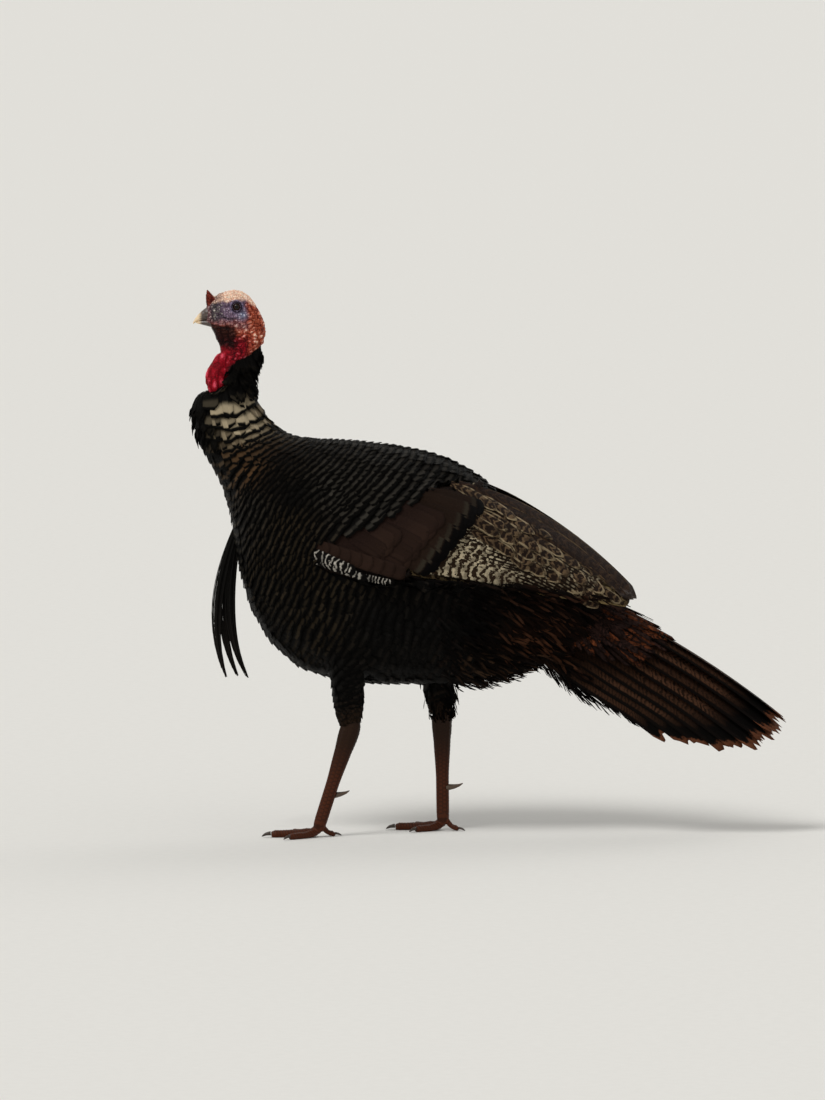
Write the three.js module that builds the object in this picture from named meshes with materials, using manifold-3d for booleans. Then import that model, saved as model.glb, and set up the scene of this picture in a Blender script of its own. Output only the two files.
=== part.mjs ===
// Adult male wild turkey, standing in mid step with its head up and its wings and tail folded.
// Millimetres, +Z up. The bird looks along -Y and its left side is +X. The origin is on the
// floor, below the middle of the bird's length and width.
import * as THREE from "three";
import { mergeVertices } from "three/addons/utils/BufferGeometryUtils.js";
import Module from "manifold-3d";

const wasm = await Module();
wasm.setup();

// ---- driving dimensions ------------------------------------------------------------------
const GAP = 0.5; // between pieces that meet
const SLIVER = 0.12; // a cut's facets thinner than this are merged into their neighbours
const EDGE = 2; // thickness of a feather sheet at its edges
const STANCE = { middle: -167, halfStride: 96, halfWidth: 50 }; // of the two feet
const SHANK = 160; // from the hock to the toe joint
const TOE_JOINT_Z = 17;
const EYE = { radius: 7.6, x: 14.6, y: -390, z: 820 };
const SPACE = 3000; // edge of the blocks that stand for a half space

// ---- colours -----------------------------------------------------------------------------
const finish = (color, roughness, metalness = 0) =>
  new THREE.MeshStandardMaterial({ color, roughness, metalness });
const PLUMAGE = finish(0x1d1712, 0.45, 0.25);
const WING_BROWN = finish(0x453529, 0.55);
const WING_BARRED = finish(0x8d8268, 0.65);
const TAIL = finish(0x4b2a1c, 0.55);
const FACE_SKIN = finish(0x8a86a8, 0.5);
const RED_SKIN = finish(0xa82a30, 0.45);
const SNOOD_SKIN = finish(0x7c2c2a, 0.5);
const HORN = finish(0xd9c29c, 0.4);
const EYE_BROWN = finish(0x1a0f0a, 0.08);
const BEARD = finish(0x0c0a09, 0.5);
const LEG = finish(0x6b3128, 0.5);
const CLAW = finish(0x2a211b, 0.4);

// ---- making closed forms -----------------------------------------------------------------
const v3 = (x, y, z) => new THREE.Vector3(x, y, z);
const inPlane = ([y, z]) => v3(0, y, z);
const curve = (points) => new THREE.CatmullRomCurve3(points);
const power = (value, exponent) => Math.sign(value) * Math.abs(value) ** exponent;

// A ball of rings and sides whose vertices are moved to at(along, round): along runs from 0 to 1
// over the rings, round from 0 to 2 PI over the sides. Each end closes on the middle of its ring.
function closedForm(rings, sides, at) {
  const ball = new THREE.SphereGeometry(1, sides, rings + 1);
  const position = ball.getAttribute("position");
  const middle = (points) =>
    points.reduce((sum, p) => sum.add(p), v3(0, 0, 0)).divideScalar(points.length);
  for (let row = 0; row <= rings + 1; row++) {
    const isPole = row === 0 || row === rings + 1;
    const along = (Math.min(Math.max(row, 1), rings) - 1) / (rings - 1);
    const points = Array.from({ length: sides }, (_, i) => at(along, (2 * Math.PI * i) / sides));
    const pole = middle(points.map((p) => p.clone()));
    for (let i = 0; i <= sides; i++) {
      const p = isPole ? pole : points[i % sides];
      position.setXYZ(row * (sides + 1) + i, p.x, p.y, p.z);
    }
  }
  return welded(ball);
}

const solidOf = (geometry) =>
  new wasm.Manifold(
    new wasm.Mesh({
      numProp: 3,
      vertProperties: geometry.getAttribute("position").array,
      triVerts: new Uint32Array(geometry.index.array),
    }),
  );

// The geometry with shared vertices, its faces pointing out.
function welded(geometry) {
  const merged = mergeVertices(geometry.clone().deleteAttribute("normal").deleteAttribute("uv"), 1e-3);
  if (solidOf(merged).volume() < 0) {
    const index = merged.index.array;
    for (let i = 0; i < index.length; i += 3) [index[i], index[i + 1]] = [index[i + 1], index[i]];
  }
  return merged;
}

// A body of ribs, each an oval that stands on the midplane: back and belly are its ends as
// [y, z], half its half width; square flattens its sides.
function ribbed(ribs, rings, sides) {
  const back = curve(ribs.map((r) => inPlane(r.back)));
  const belly = curve(ribs.map((r) => inPlane(r.belly)));
  const girth = curve(ribs.map((r) => v3(r.half, 100 * (r.square ?? 0), 0)));
  return closedForm(rings, sides, (along, round) => {
    const top = back.getPoint(along);
    const low = belly.getPoint(along);
    const { x: half, y: square } = girth.getPoint(along);
    const exponent = 1 - square / 100;
    const up = power(Math.cos(round), exponent);
    const p = top.clone().add(low).multiplyScalar(0.5);
    return p.addScaledVector(top.sub(low), up / 2).setX(power(Math.sin(round), exponent) * half);
  });
}

// A limb along a path of stations { at: [x, y, z], wide, deep }, its half sizes across it.
function limb(stations, rings, sides, up = v3(0, 0, 1)) {
  const path = curve(stations.map((s) => v3(...s.at)));
  const girth = curve(stations.map((s) => v3(s.wide, s.deep, 0)));
  return closedForm(rings, sides, (along, round) => {
    const tangent = path.getTangent(along);
    const side = tangent.clone().cross(up).normalize();
    const top = side.clone().cross(tangent).normalize();
    const { x: wide, y: deep } = girth.getPoint(along);
    return path
      .getPoint(along)
      .addScaledVector(side, Math.sin(round) * wide)
      .addScaledVector(top, Math.cos(round) * deep);
  });
}

// A sheet of feathers over surface(along, across), both from 0 to 1, with blunt edges of EDGE.
// Half the sides lie on its outer face and half on its inner one; thick(along) is its middle's.
function sheet(surface, thick, rings, sides, outward) {
  const perFace = sides / 2;
  const step = 1e-3;
  return closedForm(rings, sides, (along, round) => {
    const corner = Math.round((round / (2 * Math.PI)) * sides);
    const isOuter = corner < perFace;
    const across = (isOuter ? corner : sides - 1 - corner) / (perFace - 1);
    const run = surface(Math.min(along + step, 1), across).sub(surface(Math.max(along - step, 0), across));
    const over = surface(along, across + step).sub(surface(along, across - step));
    const normal = run.cross(over).normalize();
    if (normal.dot(outward) < 0) normal.negate();
    const full = thick(along) * Math.sqrt(4 * across * (1 - across));
    const depth = (isOuter ? 0.5 : -0.5) * Math.max(EDGE, full);
    return surface(along, across).addScaledVector(normal, depth);
  });
}

// An ellipsoid with half sizes [x, y, z].
function lobe(centre, sizes, sides, rings) {
  const ball = new THREE.SphereGeometry(1, sides, rings).rotateX(Math.PI / 2);
  return welded(ball.scale(...sizes).translate(...centre));
}

const mirrored = (geometry) => welded(geometry.clone().scale(-1, 1, 1));

// ---- joining and cutting -----------------------------------------------------------------
// The form with each vertex moved out along its normal, so that what it cuts keeps a gap.
function grown(geometry, by = GAP) {
  const out = geometry.clone();
  out.computeVertexNormals();
  const position = out.getAttribute("position");
  const normal = out.getAttribute("normal");
  for (let i = 0; i < position.count; i++) {
    const n = v3().fromBufferAttribute(normal, i).multiplyScalar(by);
    const p = v3().fromBufferAttribute(position, i).add(n);
    position.setXYZ(i, p.x, p.y, p.z);
  }
  return solidOf(out);
}

// The largest body of a solid, as a geometry, without the slivers that a cut leaves.
function geometryOf(solid) {
  const body = solid.decompose().reduce((a, b) => (b.volume() > a.volume() ? b : a)).simplify(SLIVER);
  const { numProp, numVert, vertProperties, triVerts } = body.getMesh();
  const array = new Float32Array(numVert * 3);
  for (let i = 0; i < numVert; i++) {
    array.set(vertProperties.subarray(i * numProp, i * numProp + 3), i * 3);
  }
  return new THREE.BufferGeometry()
    .setAttribute("position", new THREE.BufferAttribute(array, 3))
    .setIndex(new THREE.BufferAttribute(triVerts, 1));
}

const less = (geometry, ...others) =>
  geometryOf(
    others.reduce((solid, other) => solid.subtract(grown(other)).subtract(solidOf(other)), solidOf(geometry)),
  );
const joined = (...geometries) => geometryOf(geometries.map(solidOf).reduce((a, b) => a.add(b)));

// What lies on the side of a plane that its normal points to, half the gap away from it.
function sideOf(geometry, point, normal) {
  const turn = new THREE.Quaternion().setFromUnitVectors(v3(0, 0, 1), normal.clone().normalize());
  const block = new THREE.BoxGeometry(SPACE, SPACE, SPACE).translate(0, 0, (SPACE + GAP) / 2);
  block.applyQuaternion(turn).translate(point.x, point.y, point.z);
  return geometryOf(solidOf(geometry).intersect(solidOf(welded(block))));
}

const parted = (geometry, point, normal) =>
  [normal, normal.clone().negate()].map((side) => sideOf(geometry, point, side));
const aboveFloor = (geometry) => sideOf(geometry, v3(0, 0, -GAP / 2), v3(0, 0, 1));

// ---- trunk and feathered neck ------------------------------------------------------------
const bodyForm = ribbed(
  [
    { back: [-350, 750], belly: [-437, 696], half: 27 },
    { back: [-360, 727], belly: [-452, 690], half: 32 },
    { back: [-364, 700], belly: [-460, 674], half: 36 },
    { back: [-358, 672], belly: [-461, 656], half: 40 },
    { back: [-340, 644], belly: [-456, 628], half: 47 },
    { back: [-312, 623], belly: [-443, 594], half: 60 },
    { back: [-270, 615], belly: [-419, 553], half: 80 },
    { back: [-224, 614], belly: [-401, 496], half: 100, square: 0.05 },
    { back: [-162, 608], belly: [-390, 420], half: 113, square: 0.08 },
    { back: [-100, 597], belly: [-367, 343], half: 118, square: 0.1 },
    { back: [-46, 578], belly: [-312, 268], half: 117, square: 0.1 },
    { back: [4, 543], belly: [-222, 236], half: 110, square: 0.08 },
    { back: [55, 496], belly: [-121, 233], half: 99, square: 0.05 },
    { back: [106, 446], belly: [-33, 234], half: 84 },
    { back: [152, 397], belly: [47, 249], half: 66 },
    { back: [186, 360], belly: [100, 266], half: 48 },
  ],
  23,
  18,
);

// ---- head, bill, and bare neck -----------------------------------------------------------
const headForm = ribbed(
  [
    { back: [-438, 818], belly: [-435, 791], half: 8.5 },
    { back: [-433, 828], belly: [-431, 788], half: 13 },
    { back: [-420, 839], belly: [-426, 779], half: 17.5, square: 0.05 },
    { back: [-404, 845], belly: [-421, 766], half: 20, square: 0.08 },
    { back: [-387, 846], belly: [-417, 757], half: 21, square: 0.08 },
    { back: [-371, 837], belly: [-416, 750], half: 21.5, square: 0.05 },
    { back: [-358, 819], belly: [-418, 742], half: 22 },
    { back: [-347, 797], belly: [-422, 735], half: 23 },
    { back: [-345, 775], belly: [-424, 726], half: 24 },
    { back: [-352, 756], belly: [-425, 714], half: 24 },
    { back: [-366, 738], belly: [-424, 701], half: 22 },
  ],
  15,
  14,
);

const billUpper = ribbed(
  [
    { back: [-433, 821], belly: [-430, 800], half: 9.5 },
    { back: [-440, 816.5], belly: [-438, 798.5], half: 8.6 },
    { back: [-447, 810.5], belly: [-446, 797], half: 7 },
    { back: [-453.5, 803], belly: [-453, 795.5], half: 4.6 },
    { back: [-458, 795.5], belly: [-457.5, 792.5], half: 1.6 },
  ],
  6,
  10,
);

const billLower = ribbed(
  [
    { back: [-430, 799.2], belly: [-428, 787], half: 8 },
    { back: [-438, 797.8], belly: [-437, 788], half: 7 },
    { back: [-446, 796], belly: [-445.5, 789.5], half: 5.4 },
    { back: [-453.6, 794.2], belly: [-453.2, 791.5], half: 2.4 },
  ],
  5,
  8,
);

const snoodForm = ribbed(
  [
    { back: [-421, 832], belly: [-438, 822], half: 6.5 },
    { back: [-425, 836], belly: [-438.5, 829], half: 5.8 },
    { back: [-430, 841], belly: [-438.5, 837], half: 4.2 },
    { back: [-434.5, 846.2], belly: [-437, 845.6], half: 1.4 },
  ],
  6,
  8,
);

const eyeForm = lobe([EYE.x, EYE.y, EYE.z], [EYE.radius, EYE.radius, EYE.radius], 10, 7);
const earForm = lobe([20.5, -364, 806], [3.4, 5, 6.5], 7, 5);

// The big lobe at the foot of the bare neck, which hangs over the first feathers.
const caruncle = limb(
  [
    { at: [8, -406, 748], wide: 9, deep: 7 },
    { at: [11, -411, 738], wide: 12, deep: 12 },
    { at: [12, -417, 725], wide: 13, deep: 16 },
    { at: [14, -422, 711], wide: 14, deep: 18 },
    { at: [16, -422, 698], wide: 12, deep: 16 },
    { at: [18, -423, 687], wide: 8, deep: 9.5 },
    { at: [19, -424, 678], wide: 2.4, deep: 2.6 },
  ],
  8,
  8,
  v3(0, 1, 0),
);
const caruncles = joined(caruncle, mirrored(caruncle));

// ---- wings -------------------------------------------------------------------------------
const WING = [
  { top: [98, -290, 470], low: [101, -290, 450], bulge: 2, thick: 8 },
  { top: [106, -258, 489], low: [114, -260, 421], bulge: 7, thick: 14 },
  { top: [108, -201, 515], low: [123, -201, 396], bulge: 11, thick: 16 },
  { top: [102, -139, 539], low: [127, -139, 388], bulge: 15, thick: 16 },
  { top: [84, -77, 559], low: [124, -77, 388], bulge: 20, thick: 16 },
  { top: [52, -15, 560], low: [116, -15, 385], bulge: 24, thick: 16 },
  { top: [28, 47, 516], low: [103, 47, 380], bulge: 22, thick: 14 },
  { top: [17, 109, 474], low: [86, 109, 373], bulge: 17, thick: 12 },
  { top: [12, 171, 424], low: [62, 171, 365], bulge: 11, thick: 9 },
  { top: [13, 210, 384], low: [42, 210, 358], bulge: 5, thick: 6 },
  { top: [22, 228, 362], low: [31, 229, 355], bulge: 1, thick: 3 },
];

// A surface between two curves, bulging outwards between them.
function between(stations, outward) {
  const top = curve(stations.map((s) => v3(...s.top)));
  const low = curve(stations.map((s) => v3(...s.low)));
  const body = curve(stations.map((s) => v3(s.bulge, s.thick, 0)));
  const at = (along, across) => {
    const a = top.getPoint(along);
    const b = low.getPoint(along);
    const normal = b.clone().sub(a).cross(v3(0, 1, 0)).normalize();
    if (normal.dot(outward) < 0) normal.negate();
    const arch = 4 * across * (1 - across);
    return a.lerp(b, across).addScaledVector(normal, body.getPoint(along).x * arch);
  };
  return { at, thick: (along) => body.getPoint(along).y };
}

const wingSurface = between(WING, v3(1, 0, 0.3));
const wingForm = sheet(wingSurface.at, wingSurface.thick, 15, 12, v3(1, 0, 0.3));

// ---- tail --------------------------------------------------------------------------------
// The folded tail is a roof: a ridge of the longest feathers, and sides that fall to the outer
// ones. Stations are the ridge, as [y, z], and the edge of a side.
const ROOF = [
  { ridge: [128, 383], edge: [30, 128, 318] },
  { ridge: [186, 360], edge: [46, 166, 262] },
  { ridge: [256, 322], edge: [56, 216, 204] },
  { ridge: [326, 275], edge: [62, 266, 168] },
  { ridge: [392, 224], edge: [64, 322, 152] },
  { ridge: [438, 188], edge: [60, 380, 144] },
  { ridge: [461, 170], edge: [50, 424, 141] },
];
const roofRidge = curve(ROOF.map((s) => inPlane(s.ridge)));
const roofEdge = curve(ROOF.map((s) => v3(...s.edge)));

// A point of the roof: across is 0 on the ridge and 1 on the left edge; lift raises it.
function roof(along, across, lift = 0) {
  const ridge = roofRidge.getPoint(along);
  const edge = roofEdge.getPoint(along);
  const shoulder = v3(edge.x * 0.72, (ridge.y + edge.y) / 2, ridge.z * 0.78 + edge.z * 0.22);
  const p = new THREE.QuadraticBezierCurve3(ridge, shoulder, edge).getPoint(Math.abs(across));
  const out = v3(Math.abs(across), 0.35, 1 - 0.6 * Math.abs(across)).normalize();
  p.addScaledVector(out, lift);
  return across < 0 ? p.setX(-p.x) : p;
}

const RIDGE_SHARE = 0.24; // of a side, that belongs to the ridge feathers
const SIDE_START = 0.27;
const tailCentre = sheet(
  (along, across) => roof(along, RIDGE_SHARE * (2 * across - 1)),
  () => 5,
  9,
  10,
  v3(0, 0.5, 1),
);
const tailSide = sheet(
  (along, across) => roof(along * 0.985, SIDE_START + (1 - SIDE_START) * across),
  () => 6,
  9,
  8,
  v3(1, 0, 0.6),
);

const COVERT_REACH = 0.5; // how far down the tail its upper coverts lie
const tailCovertsUpper = sheet(
  (along, across) => {
    const side = 2 * across - 1;
    const down = COVERT_REACH * along * (1 - 0.25 * side * side);
    return roof(down, 1.02 * side, 12 - 3 * along);
  },
  () => 7,
  8,
  14,
  v3(0, 0.55, 1),
);

const tailCovertsUnder = ribbed(
  [
    { back: [70, 330], belly: [60, 262], half: 36 },
    { back: [124, 300], belly: [96, 238], half: 40 },
    { back: [172, 262], belly: [138, 219], half: 38 },
    { back: [212, 226], belly: [186, 201], half: 32 },
    { back: [244, 196], belly: [232, 178], half: 18 },
  ],
  7,
  12,
);

// ---- beard -------------------------------------------------------------------------------
// Its bristles part into three points; each strand is [x, y, z] of its tip.
const BEARD_TIPS = [[6, -407, 243], [-2, -390, 244], [3, -373, 242]];
const beardForm = joined(
  ...BEARD_TIPS.map(([x, y, z]) =>
    limb(
      [
        { at: [0, -378, 484], wide: 6, deep: 6 },
        { at: [0, -391, 456], wide: 8, deep: 9 },
        { at: [x * 0.3, -402 + (y + 390) * 0.2, 420], wide: 9, deep: 11 },
        { at: [x * 0.6, -409 + (y + 390) * 0.35, 370], wide: 10, deep: 13 },
        { at: [x, -408 + (y + 390) * 0.6, 320], wide: 8, deep: 10 },
        { at: [x, -401 + (y + 390) * 0.85, 280], wide: 5, deep: 6 },
        { at: [x, y, z], wide: 1, deep: 1 },
      ],
      8,
      6,
      v3(0, 1, 0),
    ),
  ),
);

// ---- legs --------------------------------------------------------------------------------
// Each toe leaves the joint at an angle from straight ahead, in degrees, outwards on both feet.
const TOES = {
  middle: { angle: 3, length: 74, radius: 7.4, claw: 15 },
  inner: { angle: -36, length: 52, radius: 6.6, claw: 13 },
  outer: { angle: 40, length: 58, radius: 6.4, claw: 13 },
  hind: { angle: 207, length: 27, radius: 5, claw: 12, height: 23 },
};

function toeAndClaw(joint, side, { angle, length, radius, claw, height }) {
  const turn = THREE.MathUtils.degToRad(angle);
  const ahead = v3(side * Math.sin(turn), -Math.cos(turn), 0);
  const rootZ = height ?? TOE_JOINT_Z - 4;
  const place = (reach, z) => joint.clone().addScaledVector(ahead, reach).setZ(z).toArray();
  const sole = radius * 0.7; // the floor flattens the pads
  const joints = height ? 1 : 3;
  const stations = [{ at: place(0, rootZ), wide: radius, deep: radius }];
  for (let k = 1; k <= joints; k++) {
    const share = k / (joints + 0.35);
    const pad = radius * (1.06 - 0.16 * share);
    const z = sole + (k === 1 ? 2 : 0);
    stations.push({ at: place(length * (share - 0.13), z + 0.4), wide: pad * 0.84, deep: pad * 0.86 });
    stations.push({ at: place(length * share, z), wide: pad, deep: pad });
  }
  stations.push({ at: place(length, sole * 0.75), wide: radius * 0.66, deep: radius * 0.66 });
  const nail = [
    { at: place(length - 4, sole + 0.6), wide: radius * 0.52, deep: radius * 0.5 },
    { at: place(length + claw * 0.35, sole + 1), wide: radius * 0.44, deep: radius * 0.42 },
    { at: place(length + claw * 0.75, sole * 0.72), wide: radius * 0.28, deep: radius * 0.28 },
    { at: place(length + claw, sole * 0.3), wide: 0.6, deep: 0.6 },
  ];
  return [aboveFloor(limb(stations, height ? 5 : 9, 8)), aboveFloor(limb(nail, 5, 6))];
}

// side is 1 for the left leg and -1 for the right; stride is how far ahead its foot stands,
// lean how far the hock lies behind the toe joint, and knee where the thigh leaves the body.
function leg(side, stride, lean, knee) {
  const joint = v3(side * STANCE.halfWidth, STANCE.middle - stride, TOE_JOINT_Z);
  const hock = v3(joint.x + side * 2, joint.y + lean, joint.z + Math.sqrt(SHANK ** 2 - lean ** 2));
  const onShank = (share) => joint.clone().lerp(hock, share);
  const station = (share, wide, deep) => ({ at: onShank(share).toArray(), wide, deep });
  const back = v3(0, 1, 0);
  const shank = limb(
    [
      station(-0.04, 8.5, 8.5),
      station(0.02, 9.5, 10),
      station(0.12, 8, 10.5),
      station(0.45, 7.4, 10.5),
      station(0.8, 8, 11),
      station(0.94, 9.2, 13),
      station(1.02, 9, 12.5),
      station(1.1, 7, 9),
    ],
    10,
    9,
    back,
  );
  const onThigh = (share, rise, wide, deep) => ({
    at: [side * (51 + 5 * share), THREE.MathUtils.lerp(hock.y, knee.y, share), rise],
    wide,
    deep,
  });
  const thigh = limb(
    [
      onThigh(1, knee.z, 30, 34),
      onThigh(0.8, knee.z * 0.6 + hock.z * 0.4, 25, 28),
      onThigh(0.5, hock.z + 42, 20, 24),
      onThigh(0.2, hock.z + 20, 16, 21),
      onThigh(0, hock.z + 2, 12, 15),
    ],
    7,
    11,
    back,
  );
  const spurAt = (out, behind, above) =>
    onShank(0.32).add(v3(-side * out, behind, above)).toArray();
  const spur = limb(
    [
      { at: spurAt(2, 5, -1), wide: 5.4, deep: 5.4 },
      { at: spurAt(4, 14, 0), wide: 4.4, deep: 4.4 },
      { at: spurAt(6, 24, 2), wide: 2.8, deep: 2.8 },
      { at: spurAt(7, 32, 6), wide: 0.7, deep: 0.7 },
    ],
    5,
    6,
  );
  const pieces = { shank, spur: less(spur, shank), thigh: less(thigh, bodyForm, shank) };
  const nearer = [shank];
  for (const [name, toe] of Object.entries(TOES)) {
    const [digit, nail] = toeAndClaw(joint, side, toe);
    pieces[`toe_${name}`] = less(digit, ...nearer);
    pieces[`claw_${name}`] = less(nail, digit);
    nearer.push(digit);
  }
  return pieces;
}

// ---- parting the pieces ------------------------------------------------------------------
const wingRight = mirrored(wingForm);
const tailRight = mirrored(tailSide);
const wings = [wingForm, wingRight];
const tail = [tailCentre, tailSide, tailRight];
const tailPiece = (form) => less(form, bodyForm, tailCovertsUpper, ...wings);
const [covertsLeft, covertsRight] = parted(less(tailCovertsUpper, bodyForm, ...wings), v3(0, 0, 0), v3(1, 0, 0));

const body = less(bodyForm, ...wings, caruncles);
const [neckFeathered, trunk] = parted(body, v3(0, -373, 606), v3(0, -0.42, 0.91));

const eyes = { left: eyeForm, right: mirrored(eyeForm) };
const ears = { left: earForm, right: mirrored(earForm) };
const onHead = [snoodForm, billUpper, billLower, ...Object.values(eyes), ...Object.values(ears)];
const bare = less(headForm, bodyForm, caruncles, ...onHead);
const [head, neckBare] = parted(bare, v3(0, -384, 779), v3(0, -0.42, 0.91));

const group = new THREE.Group();
const add = (name, geometry, material) => {
  const mesh = new THREE.Mesh(geometry, material);
  mesh.name = name;
  group.add(mesh);
};

add("trunk", trunk, PLUMAGE);
add("neck_feathered", neckFeathered, PLUMAGE);
add("neck_bare", neckBare, RED_SKIN);
add("head", head, FACE_SKIN);
add("bill_upper", billUpper, HORN);
add("bill_lower", less(billLower, billUpper), HORN);
add("snood", less(snoodForm, billUpper), SNOOD_SKIN);
add("throat_caruncles", caruncles, RED_SKIN);
add("beard", less(beardForm, bodyForm), BEARD);
add("tail_centre", tailPiece(tailCentre), TAIL);
add("tail_left", tailPiece(tailSide), TAIL);
add("tail_right", tailPiece(tailRight), TAIL);
add("tail_coverts_upper_left", covertsLeft, TAIL);
add("tail_coverts_upper_right", covertsRight, TAIL);
add("tail_coverts_under", less(tailCovertsUnder, bodyForm, tailCovertsUpper, ...tail), PLUMAGE);

for (const [side, form] of [["left", wingForm], ["right", wingRight]]) {
  // The greater coverts end on a slant, and the wing tip shows below the long inner feathers.
  const [flight, coverts] = parted(form, v3(0, -38, 470), v3(0, 0.9, -0.43));
  const [inner, tip] = parted(flight, v3(0, 150, 386), v3(0, 0.3, 0.95));
  add(`wing_${side}_coverts`, coverts, WING_BROWN);
  add(`wing_${side}_secondaries`, inner, WING_BARRED);
  add(`wing_${side}_primaries`, tip, WING_BARRED);
  add(`eye_${side}`, eyes[side], EYE_BROWN);
  add(`ear_${side}`, ears[side], RED_SKIN);
}

const legs = {
  left: leg(1, STANCE.halfStride, 48, v3(0, -220, 300)),
  right: leg(-1, -STANCE.halfStride, -2, v3(0, -82, 300)),
};
const legFinish = { shank: LEG, toe: LEG, spur: CLAW, claw: CLAW, thigh: PLUMAGE };
for (const [side, pieces] of Object.entries(legs)) {
  for (const [name, geometry] of Object.entries(pieces)) {
    add(`${name}_${side}`, geometry, legFinish[name.split("_")[0]]);
  }
}

// The origin goes below the middle of the whole bird.
const extent = new THREE.Box3().setFromObject(group);
const centre = extent.getCenter(v3());
group.position.set(-centre.x, -centre.y, -extent.min.z);

export default group;
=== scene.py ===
"""Life-size model of an adult male wild turkey in mid step, with its head up and its tail folded.

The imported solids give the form. One skin lies inside them, and the plumage is laid over it vane
by vane: small feathers in rows that follow the lie of the coat, and the feathers of wings and
tail one by one. +Z is up, the bird looks along -Y, and +X is its left side. Sizes are in
millimetres of the part's drawing until Bird.at turns them into the frame's metres.
"""

from __future__ import annotations

import itertools
import logging
import math
import sys
from dataclasses import dataclass, fields, replace
from enum import Enum
from typing import Callable, Sequence

import bmesh
import bpy
import numpy as np
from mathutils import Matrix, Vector
from mathutils.bvhtree import BVHTree

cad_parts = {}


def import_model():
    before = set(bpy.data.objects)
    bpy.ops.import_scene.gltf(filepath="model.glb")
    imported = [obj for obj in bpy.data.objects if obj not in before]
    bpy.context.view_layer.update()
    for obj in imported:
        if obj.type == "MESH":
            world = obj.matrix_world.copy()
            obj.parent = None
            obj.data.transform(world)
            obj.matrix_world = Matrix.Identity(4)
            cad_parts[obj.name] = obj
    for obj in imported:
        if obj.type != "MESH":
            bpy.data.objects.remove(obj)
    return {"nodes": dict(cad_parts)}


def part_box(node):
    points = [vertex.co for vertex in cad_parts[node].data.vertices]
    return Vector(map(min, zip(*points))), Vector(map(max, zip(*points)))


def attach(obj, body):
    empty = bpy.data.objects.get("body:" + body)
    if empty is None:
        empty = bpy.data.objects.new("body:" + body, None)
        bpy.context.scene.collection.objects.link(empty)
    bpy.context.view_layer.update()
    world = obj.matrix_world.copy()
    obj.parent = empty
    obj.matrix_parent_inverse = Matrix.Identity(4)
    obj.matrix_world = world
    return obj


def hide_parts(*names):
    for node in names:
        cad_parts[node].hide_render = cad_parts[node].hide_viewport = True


Array = np.ndarray
Obj = bpy.types.Object
Material = bpy.types.Material
Socket = bpy.types.NodeSocket
Colour = tuple[float, float, float]

LOG = logging.getLogger("turkey")
MM = 0.001
# One turn in radians.
TURN = 6.283
SIDES = {"left": 1.0, "right": -1.0}
# Centre of the left eye in the drawing's millimetres.
EYE_CENTRE = (14.6, -390.0, 820.0)


def linear(red: float, green: float, blue: float) -> Colour:
    """Turns a display colour, 0 to 255 a channel, into a linear one."""
    channels = (red / 255, green / 255, blue / 255)
    return tuple(c / 12.92 if c <= 0.04045 else ((c + 0.055) / 1.055) ** 2.4 for c in channels)


def unit(vectors: Array) -> Array:
    """Scales vectors along the last axis to length one."""
    return vectors / np.maximum(np.linalg.norm(vectors, axis=-1, keepdims=True), 1e-12)


def smooth(value: Array, low: float, high: float) -> Array:
    """Rises smoothly from 0 at low to 1 at high."""
    t = np.clip((value - low) / (high - low), 0.0, 1.0)
    return t * t * (3 - 2 * t)


def gauss(value: Array, centre: float, width: float) -> Array:
    """Bell of height one."""
    return np.exp(-(((value - centre) / width) ** 2))


def inside(points: Array, outline: Sequence[tuple[float, float]]) -> Array:
    """Tells which flat points lie inside a closed outline.

    Args:
        points: (n, 2) places.
        outline: Corners in order.

    Returns:
        (n,) booleans.
    """
    result = np.zeros(len(points), bool)
    corners = np.asarray(outline, float)
    for a, b in zip(corners, np.roll(corners, -1, axis=0)):
        spans = (a[1] > points[:, 1]) != (b[1] > points[:, 1])
        with np.errstate(divide="ignore", invalid="ignore"):
            cross = (b[0] - a[0]) * (points[:, 1] - a[1]) / (b[1] - a[1]) + a[0]
        result ^= spans & (points[:, 0] < cross)
    return result


def cells(points: Array) -> tuple[Array, Array]:
    """Distances to the nearest and second nearest seed of a jittered unit lattice.

    Args:
        points: (n, 3) places in lattice units.

    Returns:
        Both distances, (n,) each.
    """
    scatter = np.array([[127.1, 269.5, 113.5], [311.7, 183.3, 271.9], [74.7, 246.1, 124.6]])
    base = np.floor(points)
    best = np.full((2, len(points)), 9.0)
    for step in itertools.product((-1, 0, 1), repeat=3):
        cell = base + step
        jitter = np.modf(np.abs(np.sin(cell @ scatter) * 43758.5453))[0]
        away = np.linalg.norm(cell + 0.15 + 0.7 * jitter - points, axis=1)
        nearer = away < best[0]
        best[1] = np.where(nearer, best[0], np.minimum(best[1], away))
        best[0] = np.where(nearer, away, best[0])
    return best[0], best[1]


# ---- mesh helpers ----


def deselect() -> None:
    """Leaves edit mode and deselects every object."""
    if bpy.context.object and bpy.context.object.mode != "OBJECT":
        bpy.ops.object.mode_set(mode="OBJECT")
    bpy.ops.object.select_all(action="DESELECT")


def activate(obj: Obj) -> None:
    """Makes an object the only selected one and the active one.

    Args:
        obj: The object.
    """
    deselect()
    obj.select_set(True)
    bpy.context.view_layer.objects.active = obj


def linked(name: str, data: object) -> Obj:
    """Makes an object and links it to the scene.

    Args:
        name: Its name.
        data: Its mesh, lamp or camera.

    Returns:
        The object.
    """
    obj = bpy.data.objects.new(name, data)
    bpy.context.scene.collection.objects.link(obj)
    return obj


def modify(obj: Obj, kind: str, **settings: object) -> None:
    """Adds a modifier and applies it.

    Args:
        obj: The object.
        kind: Type of the modifier.
        settings: Its settings.
    """
    activate(obj)
    modifier = obj.modifiers.new(kind.title(), kind)
    for key, value in settings.items():
        setattr(modifier, key, value)
    bpy.ops.object.modifier_apply(modifier=modifier.name)


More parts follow.
